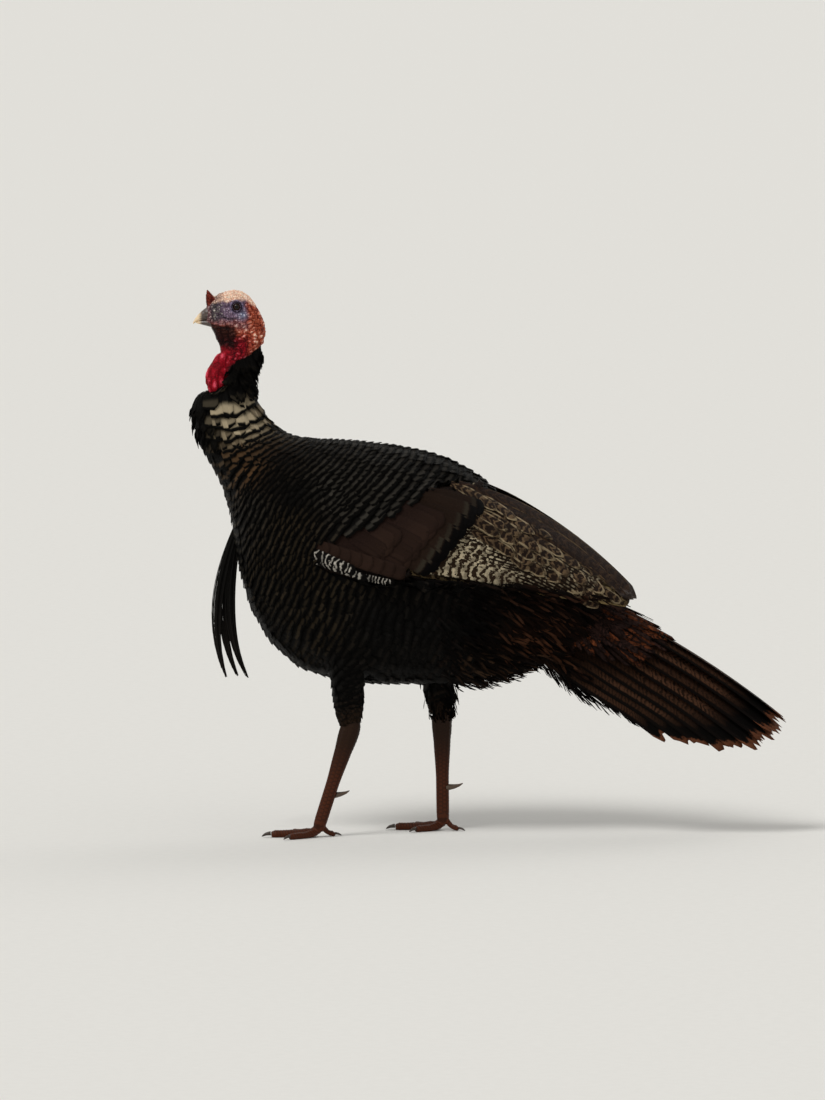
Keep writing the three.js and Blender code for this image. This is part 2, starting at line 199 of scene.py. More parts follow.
def joined(name: str, pieces: Sequence[Obj]) -> Obj:
    """Joins objects into one.

    Args:
        name: Its name.
        pieces: The objects.

    Returns:
        The joined object.
    """
    deselect()
    for piece in pieces:
        piece.select_set(True)
    bpy.context.view_layer.objects.active = pieces[0]
    if len(pieces) > 1:
        bpy.ops.object.join()
    pieces[0].name = name
    pieces[0].data.name = name
    return pieces[0]


def remeshed(obj: Obj, voxel: float, rounds: int) -> Obj:
    """Rebuilds an object as one closed surface and smooths it.

    Args:
        obj: The object.
        voxel: Cell size in metres.
        rounds: Smoothing passes.

    Returns:
        The same object.
    """
    modify(obj, "REMESH", mode="VOXEL", voxel_size=voxel, adaptivity=0.0)
    if rounds:
        modify(obj, "SMOOTH", factor=0.5, iterations=rounds)
    return obj


def triples(items: object, key: str, kind: type = float) -> Array:
    """Reads three numbers from each item of a mesh.

    Args:
        items: Vertices, normals or triangles.
        key: Name of what is read.
        kind: Type of the numbers.

    Returns:
        (n, 3) numbers.
    """
    numbers = np.empty(len(items) * 3, kind)
    items.foreach_get(key, numbers)
    return numbers.reshape(-1, 3)


def vertices_of(obj: Obj) -> Array:
    """Vertex places of a mesh object, (n, 3)."""
    return triples(obj.data.vertices, "co")


def normals_of(obj: Obj) -> Array:
    """Vertex normals of a mesh object, (n, 3)."""
    return triples(obj.data.vertex_normals, "vector")


def triangles_of(obj: Obj) -> Array:
    """Corners of a mesh object's triangles, (m, 3)."""
    obj.data.calc_loop_triangles()
    return triples(obj.data.loop_triangles, "vertices", np.int64)


def reshape(obj: Obj, points: Array) -> None:
    """Moves a mesh object's vertices to new places."""
    obj.data.vertices.foreach_set("co", np.ascontiguousarray(points, np.float32).ravel())
    obj.data.update()


def settled(obj: Obj) -> Obj:
    """Puts an active object's place, turn and scale into its mesh, and returns it."""
    bpy.ops.object.transform_apply(location=True, rotation=True, scale=True)
    return obj


def shade(obj: Obj, material: Material) -> None:
    """Gives a piece smooth shading and its only material.

    Args:
        obj: The piece.
        material: The material.
    """
    obj.data.shade_smooth()
    obj.data.materials.clear()
    obj.data.materials.append(material)


def report(piece: Obj) -> None:
    """Logs a finished piece and the number of its triangles."""
    LOG.info("%s: %d triangles", piece.name, len(triangles_of(piece)))


def mesh_of(name: str, points: Array, quads: Array) -> Obj:
    """Makes a mesh object from arrays.

    Args:
        name: The piece's name.
        points: (n, 3) vertices in metres.
        quads: (m, 4) faces.

    Returns:
        The object, linked to the scene.
    """
    mesh = bpy.data.meshes.new(name)
    mesh.vertices.add(len(points))
    mesh.vertices.foreach_set("co", np.ascontiguousarray(points, np.float32).ravel())
    mesh.loops.add(quads.size)
    mesh.loops.foreach_set("vertex_index", np.ascontiguousarray(quads, np.int32).ravel())
    mesh.polygons.add(len(quads))
    mesh.polygons.foreach_set("loop_start", np.arange(0, quads.size, 4, dtype=np.int32))
    mesh.update(calc_edges=True)
    return linked(name, mesh)


def add_uv(obj: Obj, name: str, per_vertex: Array) -> None:
    """Adds a UV map to a mesh object.

    Args:
        obj: The object.
        name: The map.
        per_vertex: (n, 2) places, one for each vertex.
    """
    layer = obj.data.uv_layers.new(name=name)
    corner = np.empty(len(obj.data.loops), np.int32)
    obj.data.loops.foreach_get("vertex_index", corner)
    layer.data.foreach_set("uv", np.ascontiguousarray(per_vertex[corner], np.float32).ravel())


def add_values(obj: Obj, name: str, values: Array) -> None:
    """Adds an attribute to the vertices of a mesh object.

    Args:
        obj: The object.
        name: The attribute.
        values: (n,) numbers or (n, 3) colours.
    """
    if values.ndim == 1:
        layer = obj.data.attributes.new(name, "FLOAT", "POINT")
        layer.data.foreach_set("value", np.ascontiguousarray(values, np.float32))
        return
    layer = obj.data.attributes.new(name, "FLOAT_COLOR", "POINT")
    rgba = np.concatenate([values, np.ones((len(values), 1))], axis=1)
    layer.data.foreach_set("color", np.ascontiguousarray(rgba, np.float32).ravel())


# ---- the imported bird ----


@dataclass
class Bird:
    """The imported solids, and the way from the drawing's millimetres to the frame's metres."""

    nodes: dict[str, Obj]
    shift: Array

    # How far the vent is drawn up, where along the body, and over what length.
    TUCK, VENT, VENT_REACH = 17, 88, 30

    @classmethod
    def load(cls) -> "Bird":
        """Loads the frame and finds how far the drawing's origin was moved.

        Returns:
            The bird.
        """
        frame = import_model()
        low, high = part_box("eye_left")
        return cls(frame["nodes"], np.array((low + high) / 2) - np.array(EYE_CENTRE) * MM)

    def at(self, points: Sequence) -> Array:
        """Drawing millimetres to frame metres."""
        return np.asarray(points, float) * MM + self.shift

    def mm(self, points: Array) -> Array:
        """Frame metres to drawing millimetres."""
        return (points - self.shift) / MM

    def tucked(self, obj: Obj) -> Obj:
        """Draws the vent up between the belly and the feathers under the tail.

        Args:
            obj: A working object of the body.

        Returns:
            The same object.
        """
        points = vertices_of(obj)
        _, y, z = self.mm(points).T
        points[:, 2] += self.TUCK * MM * gauss(y, self.VENT, self.VENT_REACH) * smooth(-z, -300, -255)
        reshape(obj, points)
        return obj

    def copy(self, name: str, *names: str) -> Obj:
        """Copies nodes into one new object, with their loose triangles merged.

        Args:
            name: Name of the copy.
            names: The nodes.

        Returns:
            The copy.
        """
        mesh = bmesh.new()
        for node in names:
            mesh.from_mesh(self.nodes[node].data)
        bmesh.ops.remove_doubles(mesh, verts=mesh.verts, dist=1e-6)
        data = bpy.data.meshes.new(name)
        mesh.to_mesh(data)
        mesh.free()
        return linked(name, data)


# ---- materials ----


class Nodes:
    """A tree of shader nodes, with short calls to build it."""

    def __init__(self, tree: bpy.types.NodeTree) -> None:
        """Takes the tree."""
        self.tree = tree

    def put(self, socket: Socket, value: object) -> None:
        """Links a socket or sets its value.

        Args:
            socket: The socket.
            value: Another socket, a number, a vector or a colour.
        """
        if isinstance(value, Socket):
            self.tree.links.new(value, socket)
        elif isinstance(value, tuple) and len(value) == 3 and socket.type == "RGBA":
            socket.default_value = (*value, 1.0)
        else:
            socket.default_value = value

    def add(self, kind: str, inputs: Sequence | dict = (), **settings: object) -> Sequence[Socket]:
        """Adds a node.

        Args:
            kind: Its kind.
            inputs: What its sockets take, in order or by their key.
            settings: Its settings.

        Returns:
            Its outputs.
        """
        node = self.tree.nodes.new(f"ShaderNode{kind}")
        for key, value in settings.items():
            setattr(node, key, value)
        for key, value in inputs.items() if isinstance(inputs, dict) else enumerate(inputs):
            self.put(node.inputs[key], value)
        return node.outputs

    def math(self, operation: str, *values: object, clamp: bool = False) -> Socket:
        """Works on numbers by an operation of the Math node."""
        return self.add("Math", values, operation=operation, use_clamp=clamp)[0]


class Graph(Nodes):
    """A material's nodes, with a short call for each step of a pattern."""

    def __init__(self, name: str, roughness: float, specular: float = 0.5) -> None:
        """Starts a material.

        Args:
            name: The material's name.
            roughness: Roughness of its surface.
            specular: Specular level.
        """
        self.material = bpy.data.materials.new(name)
        self.material.use_nodes = True
        super().__init__(self.material.node_tree)
        self.shader = self.tree.nodes["Principled BSDF"]
        self.set(Roughness=roughness, Specular_IOR_Level=specular)

    def range(self, value: object, low: float, high: float, start: float = 0.0, end: float = 1.0) -> Socket:
        """Maps low to high smoothly to start to end."""
        return self.add("MapRange", (value, low, high, start, end), interpolation_type="SMOOTHSTEP")[0]

    def mix(self, factor: object, first: object, second: object, how: str = "MIX") -> Socket:
        """Mixes two colours; factor is the second one's share."""
        return self.add("Mix", {0: factor, 6: first, 7: second}, data_type="RGBA", blend_type=how)[2]

    def shaded(self, colour: object, value: Socket) -> Socket:
        """Multiplies a colour by a number."""
        return self.mix(1.0, colour, self.add("CombineColor", (value,) * 3)[0], "MULTIPLY")

    def parts(self, vector: Socket) -> Sequence[Socket]:
        """X, Y and Z of a vector."""
        return self.add("SeparateXYZ", (vector,))

    def vane(self) -> tuple[Socket, Socket]:
        """Across (-1 to 1) and along (0 to 1) the vane."""
        across, along, _ = self.parts(self.add("UVMap", uv_map="vane")[0])
        return self.math("MULTIPLY_ADD", across, 2.0, -1.0), along

    def attribute(self, name: str, colour: bool = False) -> Socket:
        """An attribute of the piece."""
        return self.add("Attribute", attribute_name=name)["Color" if colour else "Fac"]

    def place(self) -> Socket:
        """Object coordinates."""
        return self.add("TexCoord")["Object"]

    def noise(self, scale: float, detail: float = 3.0, vector: Socket | None = None) -> Socket:
        """Noise on Object coordinates or on another vector."""
        inputs = {"Vector": vector or self.place(), "Scale": scale, "Detail": detail}
        return self.add("TexNoise", inputs)["Fac"]

    def papillae(self, scale: float) -> Socket:
        """Distance from the nearest of many small scattered points."""
        return self.add("TexVoronoi", {"Vector": self.place(), "Scale": scale})["Distance"]

    def bump(self, height: object, distance: float, strength: float) -> None:
        """Turns a height into the shader's normal."""
        self.set(Normal=self.add("Bump", {"Strength": strength, "Distance": distance, "Height": height})[0])

    def colour(self, socket: object) -> None:
        """Sets the base colour."""
        self.set(Base_Color=socket)

    def set(self, **inputs: object) -> None:
        """Sets shader sockets by name, with spaces written as underscores."""
        for key, value in inputs.items():
            self.put(self.shader.inputs[key.replace("_", " ")], value)


@dataclass(frozen=True)
class VaneFinish:
    """Colours and bands of a feather, from its root to its tip.

    The lit band, painted sheen on the black feathers and the feather's own colour on the brown ones, lies
    before a dark terminal edge; bars cross the vane; the margin runs round it.
    """

    name: str
    ground: Colour
    lit: Colour | None = None
    band: tuple[float, float, float, float] = (0.55, 0.8, 0.9, 0.95)
    tip: Colour | None = None
    tip_from: float = 0.96
    margin: Colour | None = None
    margin_from: float = 0.82
    margin_break: float = 0.0
    bars: int = 0
    bar_colour: Colour = (0.5, 0.45, 0.38)
    bar_duty: float = 0.5
    bar_slant: float = 0.8
    bar_edge: float = 0.3
    bar_end: float = 1.0
    dark: Colour | None = None
    dark_from: float = 0.8
    mottle: float = 0.35
    roughness: float = 0.5
    specular: float = 0.035
    uneven: float = 0.55
    barbs: float = 26.0
    barb_depth: float = 0.00025

    # Scales of the fine speckle, of the patches that bars come and go in, and of worn edges.
    SPECKLE, PATCHES, WEAR = 420.0, 95.0, 60.0

    def build(self) -> Material:
        """Makes the material.

        Returns:
            The material.
        """
        g = Graph(self.name, self.roughness, self.specular)
        across, along = g.vane()
        away = g.math("ABSOLUTE", across)
        tone = g.attribute("tone")
        speckle = g.noise(self.SPECKLE, 4.0)
        wobble = g.math("MULTIPLY_ADD", speckle, 0.06, along)
        paler = tuple(2.0 * c + 0.0012 for c in self.ground)
        colour = g.mix(g.math("MULTIPLY", speckle, self.mottle), self.ground, paler)
        colour = g.mix(self.glow(g, wobble, tone), colour, self.lit or g.attribute("lit", colour=True))
        if self.bars:
            colour = g.mix(self.barring(g, along, away, tone, speckle), colour, self.bar_colour)
        if self.dark:
            colour = g.mix(g.range(wobble, self.dark_from - 0.03, self.dark_from + 0.03), colour, self.dark)
        worn = g.range(g.noise(self.WEAR), 0.44, 0.56, 1.0 - self.margin_break, 1.0)
        if self.margin:
            rim = g.math("MULTIPLY_ADD", speckle, 0.16, away)
            rim = g.math("MULTIPLY", g.range(rim, self.margin_from, self.margin_from + 0.1), worn)
            colour = g.mix(g.math("MULTIPLY", rim, g.range(along, 0.1, 0.3)), colour, self.margin)
        if self.tip:
            rounded = g.math("MULTIPLY_ADD", g.math("POWER", away, 3.0), 0.015, wobble)
            end = g.math("MULTIPLY", g.range(rounded, self.tip_from, self.tip_from + 0.025), worn)
            colour = g.mix(end, colour, self.tip)
        slanted = g.math("MULTIPLY_ADD", away, -0.45, along)
        barb = g.math("SINE", g.math("MULTIPLY_ADD", slanted, TURN * self.barbs, 0.0))
        shadow = g.math("MULTIPLY_ADD", tone, self.uneven * 0.55, 0.93 - self.uneven * 0.27)
        g.colour(g.shaded(colour, g.math("MULTIPLY_ADD", barb, 0.07, shadow)))
        g.bump(barb, self.barb_depth, 0.7)
        return g.material

    def glow(self, g: Graph, wobble: Socket, tone: Socket) -> Socket:
        """Draws the lit band across the vane.

        Args:
            g: The material's nodes.
            wobble: Way along the vane, with a ragged edge.
            tone: The feather's own number.

        Returns:
            The band's strength.
        """
        start, full, hold, end = self.band
        band = g.math("MULTIPLY", g.range(wobble, start, full), g.range(wobble, hold, end, 1.0, 0.0))
        share = g.math("MULTIPLY_ADD", tone, self.uneven, 0.88 - self.uneven / 2)
        return g.math("MULTIPLY", band, share, clamp=True)

    def barring(self, g: Graph, along: Socket, away: Socket, tone: Socket, speckle: Socket) -> Socket:
        """Draws wavy, broken bars.

        Args:
            g: The material's nodes.
            along: Way along the vane.
            away: Way from its shaft.
            tone: The feather's own number.
            speckle: Fine noise.

        Returns:
            The bars' strength.
        """
        patchy = g.noise(self.PATCHES, 2.0)
        bent = g.math("MULTIPLY_ADD", patchy, 1.8, g.math("MULTIPLY_ADD", speckle, 0.7, tone))
        bent = g.math("MULTIPLY_ADD", away, -self.bar_slant, bent)
        wave = g.math("SINE", g.math("MULTIPLY", g.math("MULTIPLY_ADD", along, self.bars, bent), TURN))
        edge = math.cos(math.pi * self.bar_duty)
        bar = g.range(wave, edge - self.bar_edge, edge + self.bar_edge)
        bar = g.math("MULTIPLY", bar, g.range(patchy, 0.36, 0.6, 0.4, 1.0))
        return g.math("MULTIPLY", bar, g.range(along, 0.45, 0.95, 1.0, self.bar_end))


@dataclass(frozen=True)
class SkinFinish:
    """Bare and feathered skin, coloured by the tint that the form carries."""

    name: str = "skin"

    def build(self) -> Material:
        """Makes the material.

        Returns:
            The material.
        """
        g = Graph(self.name, 0.42, 0.06)
        fine = g.noise(900.0, 5.0)
        papilla = g.papillae(560.0)
        blotch = g.math("MULTIPLY_ADD", fine, 1.0, 0.62)
        blotch = g.math("MULTIPLY", blotch, g.range(papilla, 0.1, 0.75, 1.18, 0.76))
        g.colour(g.shaded(g.attribute("tint", colour=True), blotch))
        g.bump(g.math("MULTIPLY_ADD", papilla, -0.9, fine), 0.0009, 0.7)
        g.set(Subsurface_Weight=0.12, Subsurface_Scale=0.002, Subsurface_Radius=(1.0, 0.35, 0.2))
        return g.material


@dataclass(frozen=True)
class HornFinish:
    """Horn of bill, claws and spurs: pale towards the tip, streaked along its length."""

    name: str
    base: Colour
    tip: Colour
    tip_axis: int
    tip_from: float
    tip_to: float
    roughness: float = 0.35

    def build(self) -> Material:
        """Makes the material.

        Returns:
            The material.
        """
        g = Graph(self.name, self.roughness)
        long = g.add("Mapping", {"Vector": g.place(), "Scale": (1.0, 0.25, 1.0)})[0]
        streaks = g.noise(900.0, vector=long)
        reach = g.math("MULTIPLY_ADD", streaks, 0.006, g.parts(g.place())[self.tip_axis])
        base = g.mix(g.range(streaks, 0.4, 0.62), self.base, tuple(1.9 * c for c in self.base))
        g.colour(g.mix(g.range(reach, self.tip_from, self.tip_to), base, self.tip))
        g.bump(streaks, 0.0003, 0.5)
        g.set(Subsurface_Weight=0.08, Subsurface_Scale=0.001)
        return g.material


@dataclass(frozen=True)
class EyeFinish:
    """Dark brown iris round a black pupil, under a clear wet cornea."""

    name: str
    centre: Colour
    pupil: float = 0.0028
    iris: float = 0.0052

    def build(self) -> Material:
        """Makes the material.

        Returns:
            The material.
        """
        g = Graph(self.name, 0.08, 0.1)
        _, along, up = g.parts(g.place())
        along, up = g.math("SUBTRACT", along, self.centre[1]), g.math("SUBTRACT", up, self.centre[2])
        reach = g.math("SQRT", g.math("MULTIPLY_ADD", up, up, g.math("MULTIPLY", along, along)))
        iris = g.mix(g.noise(1500.0, 4.0), linear(20, 11, 7), linear(56, 32, 18))
        colour = g.mix(g.range(reach, self.pupil - 0.0003, self.pupil + 0.0003), linear(3, 3, 4), iris)
        g.colour(g.mix(g.range(reach, self.iris, self.iris + 0.0007), colour, linear(12, 8, 10)))
        g.set(Coat_Weight=0.2, Coat_Roughness=0.02)
        return g.material


@dataclass(frozen=True)
class LegFinish:
    """Reddish-brown scutes with darker grooves, duller above the upper level than below the lower."""

    name: str = "leg_scales"
    top: Colour = linear(37, 22, 10)
    low: Colour = linear(74, 36, 19)
    groove: Colour = linear(38, 20, 12)
    levels: tuple[float, float] = (0.07, 0.16)

    def build(self) -> Material:
        """Makes the material.

        Returns:
            The material.
        """
        g = Graph(self.name, 0.42, 0.1)
        fine = g.noise(700.0, 4.0)
        colour = g.mix(g.range(g.parts(g.place())[2], *self.levels), self.low, self.top)
        colour = g.mix(g.range(g.attribute("relief"), 0.5, 0.95), g.mix(0.6, colour, self.groove), colour)
        g.colour(g.shaded(colour, g.math("MULTIPLY_ADD", fine, 0.9, 0.55)))
        g.bump(fine, 0.0005, 0.6)
        return g.material


@dataclass(frozen=True)
class BristleFinish:
    """Stiff near-black bristles, browner towards their tips."""

    name: str = "beard_bristle"

    def build(self) -> Material:
        """Makes the material.

        Returns:
            The material.
        """
        g = Graph(self.name, 0.4, 0.12)
        _, along = g.vane()
        colour = g.mix(g.range(along, 0.5, 1.0), linear(8, 7, 6), linear(20, 14, 10))
        g.colour(g.mix(g.math("MULTIPLY", g.attribute("tone"), 0.5), colour, linear(20, 17, 13)))
        g.bump(g.noise(1200.0, 2.0), 0.0003, 0.4)
        return g.material


# ---- vanes ----


@dataclass(frozen=True)
class VaneForm:
    """The shape that a kind of feather has.

    Attributes:
        columns: Points across the vane.
        lines: Points along it.
        stem: Width at the root as a part of the full width.
        fullest: Where along it the width is full.
        roundness: How far the tip's corners draw back, in half widths.
        power: How square the tip is.
        camber: How far the edges fall below the shaft, in widths.
        thickness: Thickness at the shaft in metres.
        flick: How far the tip stands proud, in metres.
        ragged: How unevenly the tip's barbs end, in half widths.
    """

    columns: int = 5
    lines: int = 6
    stem: float = 0.35
    fullest: float = 0.55
    roundness: float = 0.55
    power: float = 2.6
    camber: float = 0.09
    thickness: float = 0.0005
    flick: float = 0.0006
    ragged: float = 0.12

    def model(self) -> tuple[Array, Array]:
        """Models the feather flat: a grid given a thickness.

        Returns:
            Vertices as (across -1..1, along 0..1, 0 on top and -1 below), and faces.
        """
        deselect()
        across, along = self.columns - 1, self.lines - 1
        bpy.ops.mesh.primitive_grid_add(x_subdivisions=across, y_subdivisions=along, size=2)
        obj = bpy.context.object
        bpy.ops.object.mode_set(mode="EDIT")
        bpy.ops.mesh.select_all(action="SELECT")
        bpy.ops.mesh.extrude_region_move(TRANSFORM_OT_translate={"value": (0, 0, 1)})
        bpy.ops.mesh.select_all(action="SELECT")
        bpy.ops.mesh.normals_make_consistent(inside=False)
        bpy.ops.object.mode_set(mode="OBJECT")
        co = vertices_of(obj)
        faces = np.array([list(p.vertices) for p in obj.data.polygons])
        bpy.data.objects.remove(obj)
        co[:, 1] = (co[:, 1] + 1) / 2
        co[:, 2] -= 1
        return co, faces


@dataclass
class Lay:
    """Centrelines of many vanes of one form, (n, steps, 3) each, with their sizes in metres."""

    points: Array
    normals: Array
    flows: Array
    length: Array
    width: Array
    depth: Array

    @classmethod
    def along(cls, points: Array, normals: Array, width: Array) -> "Lay":
        """Lays vanes on lines, with their roots on the lines too.

        Args:
            points: (n, steps, 3) places in metres.
            normals: (n, steps, 3) outward directions.
            width: (n,) widths.

        Returns:
            The lay.
        """
        length = np.linalg.norm(np.diff(points, axis=1), axis=2).sum(1)
        return cls(points, normals, unit(np.gradient(points, axis=1)), length, width, np.zeros(len(length)))

    def chosen(self, part: slice) -> "Lay":
        """The vanes of a part of the rows."""
        return Lay(*(getattr(self, field.name)[part] for field in fields(self)))


class Spine:
    """The body's long axis, which unwraps its surface into a turn round it and a way along it."""

    LINE = (
        (-430, 850), (-392, 800), (-402, 720), (-398, 650), (-330, 540),
        (-190, 430), (0, 390), (150, 320), (320, 225), (470, 130),
    )

    def __init__(self, bird: Bird) -> None:
        """Takes the bird whose metres are unwrapped."""
        self.bird = bird

    def unwrap(self, points: Array) -> Array:
        """Places points on the flat unwrap.

        Args:
            points: (n, 3) metres.

        Returns:
            (n, 2) places from 0 to 1.
        """
        flat = self.bird.mm(points)
        line = np.asarray(self.LINE, float)
        start, step = line[:-1], np.diff(line, axis=0)
        length = np.linalg.norm(step, axis=1)
        travelled = np.concatenate([[0], np.cumsum(length)])
        away = flat[:, None, 1:] - start
        t = np.clip((away * step).sum(2) / length**2, 0, 1)
        gap = np.linalg.norm(away - t[..., None] * step, axis=2)
        best = gap.argmin(1)
        row = np.arange(len(flat))
        t = t[row, best]
        side = np.stack([-step[best, 1], step[best, 0]], 1) / length[best, None]
        height = (away[row, best] * side).sum(1)
        turn = np.arctan2(flat[:, 0], height) / (2 * np.pi) + 0.5
        way = (travelled[best] + t * length[best]) / travelled[-1]
        return 0.01 + 0.97 * np.stack([turn, way], 1)


class Coat:
    """Builds coat pieces: many vanes joined into one mesh."""

    # Seed of the small unevenness, and side of a small feather's patch on the bake map.
    SEED, PATCH = 11, 0.003

    def __init__(self, bird: Bird) -> None:
        """Prepares to build.

        Args:
            bird: The bird that the coat lies on.
        """
        self.bird = bird
        self.spine = Spine(bird)
        self.random = np.random.default_rng(self.SEED)
        self.masters: dict[VaneForm, tuple[Array, Array]] = {}
        self.faces = 0

    def shaped(self, lay: Lay, form: VaneForm) -> Array:
        """Bends a form's flat feather along every centreline.

        Args:
            lay: The centrelines.
            form: The vanes' shape.

        Returns:
            (n, vertices, 3) places in metres.
        """
        u, v, under = self.masters[form][0].T
        count = len(lay.length)
        half = lay.width[:, None] / 2
        column = np.rint((u + 1) / 2 * (form.columns - 1)).astype(int)
        torn = self.random.random((count, form.columns))[:, column] * form.ragged
        draw = (form.roundness * np.abs(u) ** form.power + torn) * half / lay.length[:, None]
        along = np.clip(v - draw * v**4, 0, 1)
        steps = lay.points.shape[1] - 1
        at = along * steps
        first = np.minimum(at.astype(int), steps - 1)
        rest = (at - first)[..., None]
        row = np.arange(count)[:, None]

        def along_line(values: Array) -> Array:
            """Reads values between the steps of each line."""
            return values[row, first] * (1 - rest) + values[row, first + 1] * rest

        centre, up, flow = along_line(lay.points), unit(along_line(lay.normals)), along_line(lay.flows)
        side = unit(np.cross(flow, up))
        breadth = half * (form.stem + (1 - form.stem) * smooth(v, 0.0, form.fullest))
        droop = form.camber * u**2 * lay.width[:, None] * smooth(v, 0, 0.4)
        lift = -lay.depth[:, None] * (1 - v) ** 1.3 - droop
        lift = lift + form.flick * v**5 + under * form.thickness * (1 - 0.85 * u**2)
        lift = lift + 0.35 * form.thickness * np.exp(-((u / 0.15) ** 2))
        return centre + side * (breadth * u)[..., None] + up * lift[..., None]

    def bake_map(self, lay: Lay, form: VaneForm, atlas: bool) -> Array:
        """Spreads the vanes over the bake map.

        Args:
            lay: The centrelines.
            form: The vanes' shape.
            atlas: Gives each vane a strip of its own, and not a patch at its place on the body.

        Returns:
            (n, vertices, 2) places from 0 to 1.
        """
        u, v, under = self.masters[form][0].T
        patch = np.stack([(u + 1) / 2, np.clip(v + 0.02 * under, 0, 1)], 1)
        if not atlas:
            return self.spine.unwrap(lay.points[:, 0])[:, None] + (patch[None] - 0.5) * self.PATCH
        count = len(lay.length)
        across = math.ceil(math.sqrt(count * 4))
        corner = np.stack([np.arange(count) % across, np.arange(count) // across], 1)
        cell = np.array([1 / across, 1 / math.ceil(count / across)])
        return (corner[:, None] + 0.08 + 0.84 * patch[None]) * cell

    def build(
        self, name: str, lay: Lay, form: VaneForm, finish: Material, slot: str,
        lit: Array | None = None, atlas: bool = False,
    ) -> Obj:
        """Makes one piece of vanes.

        Args:
            name: The piece's name.
            lay: The centrelines.
            form: The vanes' shape.
            finish: Their material.
            slot: The record's slot; not used.
            lit: (n, 3) colours of the lit bands, where the finish reads them.
            atlas: Gives each vane a strip of its own on the bake map, for few long feathers.

        Returns:
            The object.
        """
        if form not in self.masters:
            self.masters[form] = form.model()
        shape, faces = self.masters[form]
        count, size = len(lay.length), len(shape)
        points = self.shaped(lay, form)
        quads = (faces[None] + (np.arange(count) * size)[:, None, None]).reshape(-1, 4)
        obj = mesh_of(name, points.reshape(-1, 3), quads)
        add_uv(obj, "vane", np.tile(np.stack([(shape[:, 0] + 1) / 2, shape[:, 1]], 1), (count, 1)))
        add_uv(obj, "OFBake", self.bake_map(lay, form, atlas).reshape(-1, 2))
        add_values(obj, "tone", np.repeat(self.random.random(count), size))
        if lit is not None:
            add_values(obj, "lit", np.repeat(lit, size, axis=0))
        shade(obj, finish)
        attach(obj, "root")
        self.faces += 2 * len(quads)
        LOG.info("%s: %d vanes, %d triangles", name, count, 2 * len(quads))
        return obj


# ---- the lie of the small feathers ----


class Sheen(Enum):
    """Colours of the lit bands on the small feathers of each region: painted sheen that light draws from the
    black plumage, such as the cream neck and grey mantle bands, over the feathers' own bronze and brown.
    """

    BLACK = linear(13, 12, 11)
    SOOT = linear(27, 24, 21)
    CREAM = linear(222, 203, 167)
    TAN = linear(122, 106, 82)
    SLATE = linear(41, 38, 33)
    BRONZE = linear(40, 33, 23)
    GREY = linear(52, 49, 44)
    EARTH = linear(54, 39, 27)
    UMBER = linear(80, 57, 36)
    CHESTNUT = linear(82, 51, 34)
    MAUVE = linear(50, 34, 30)


BLACK, SOOT, CREAM, TAN, SLATE, BRONZE, GREY, EARTH, UMBER, CHESTNUT, MAUVE = Sheen
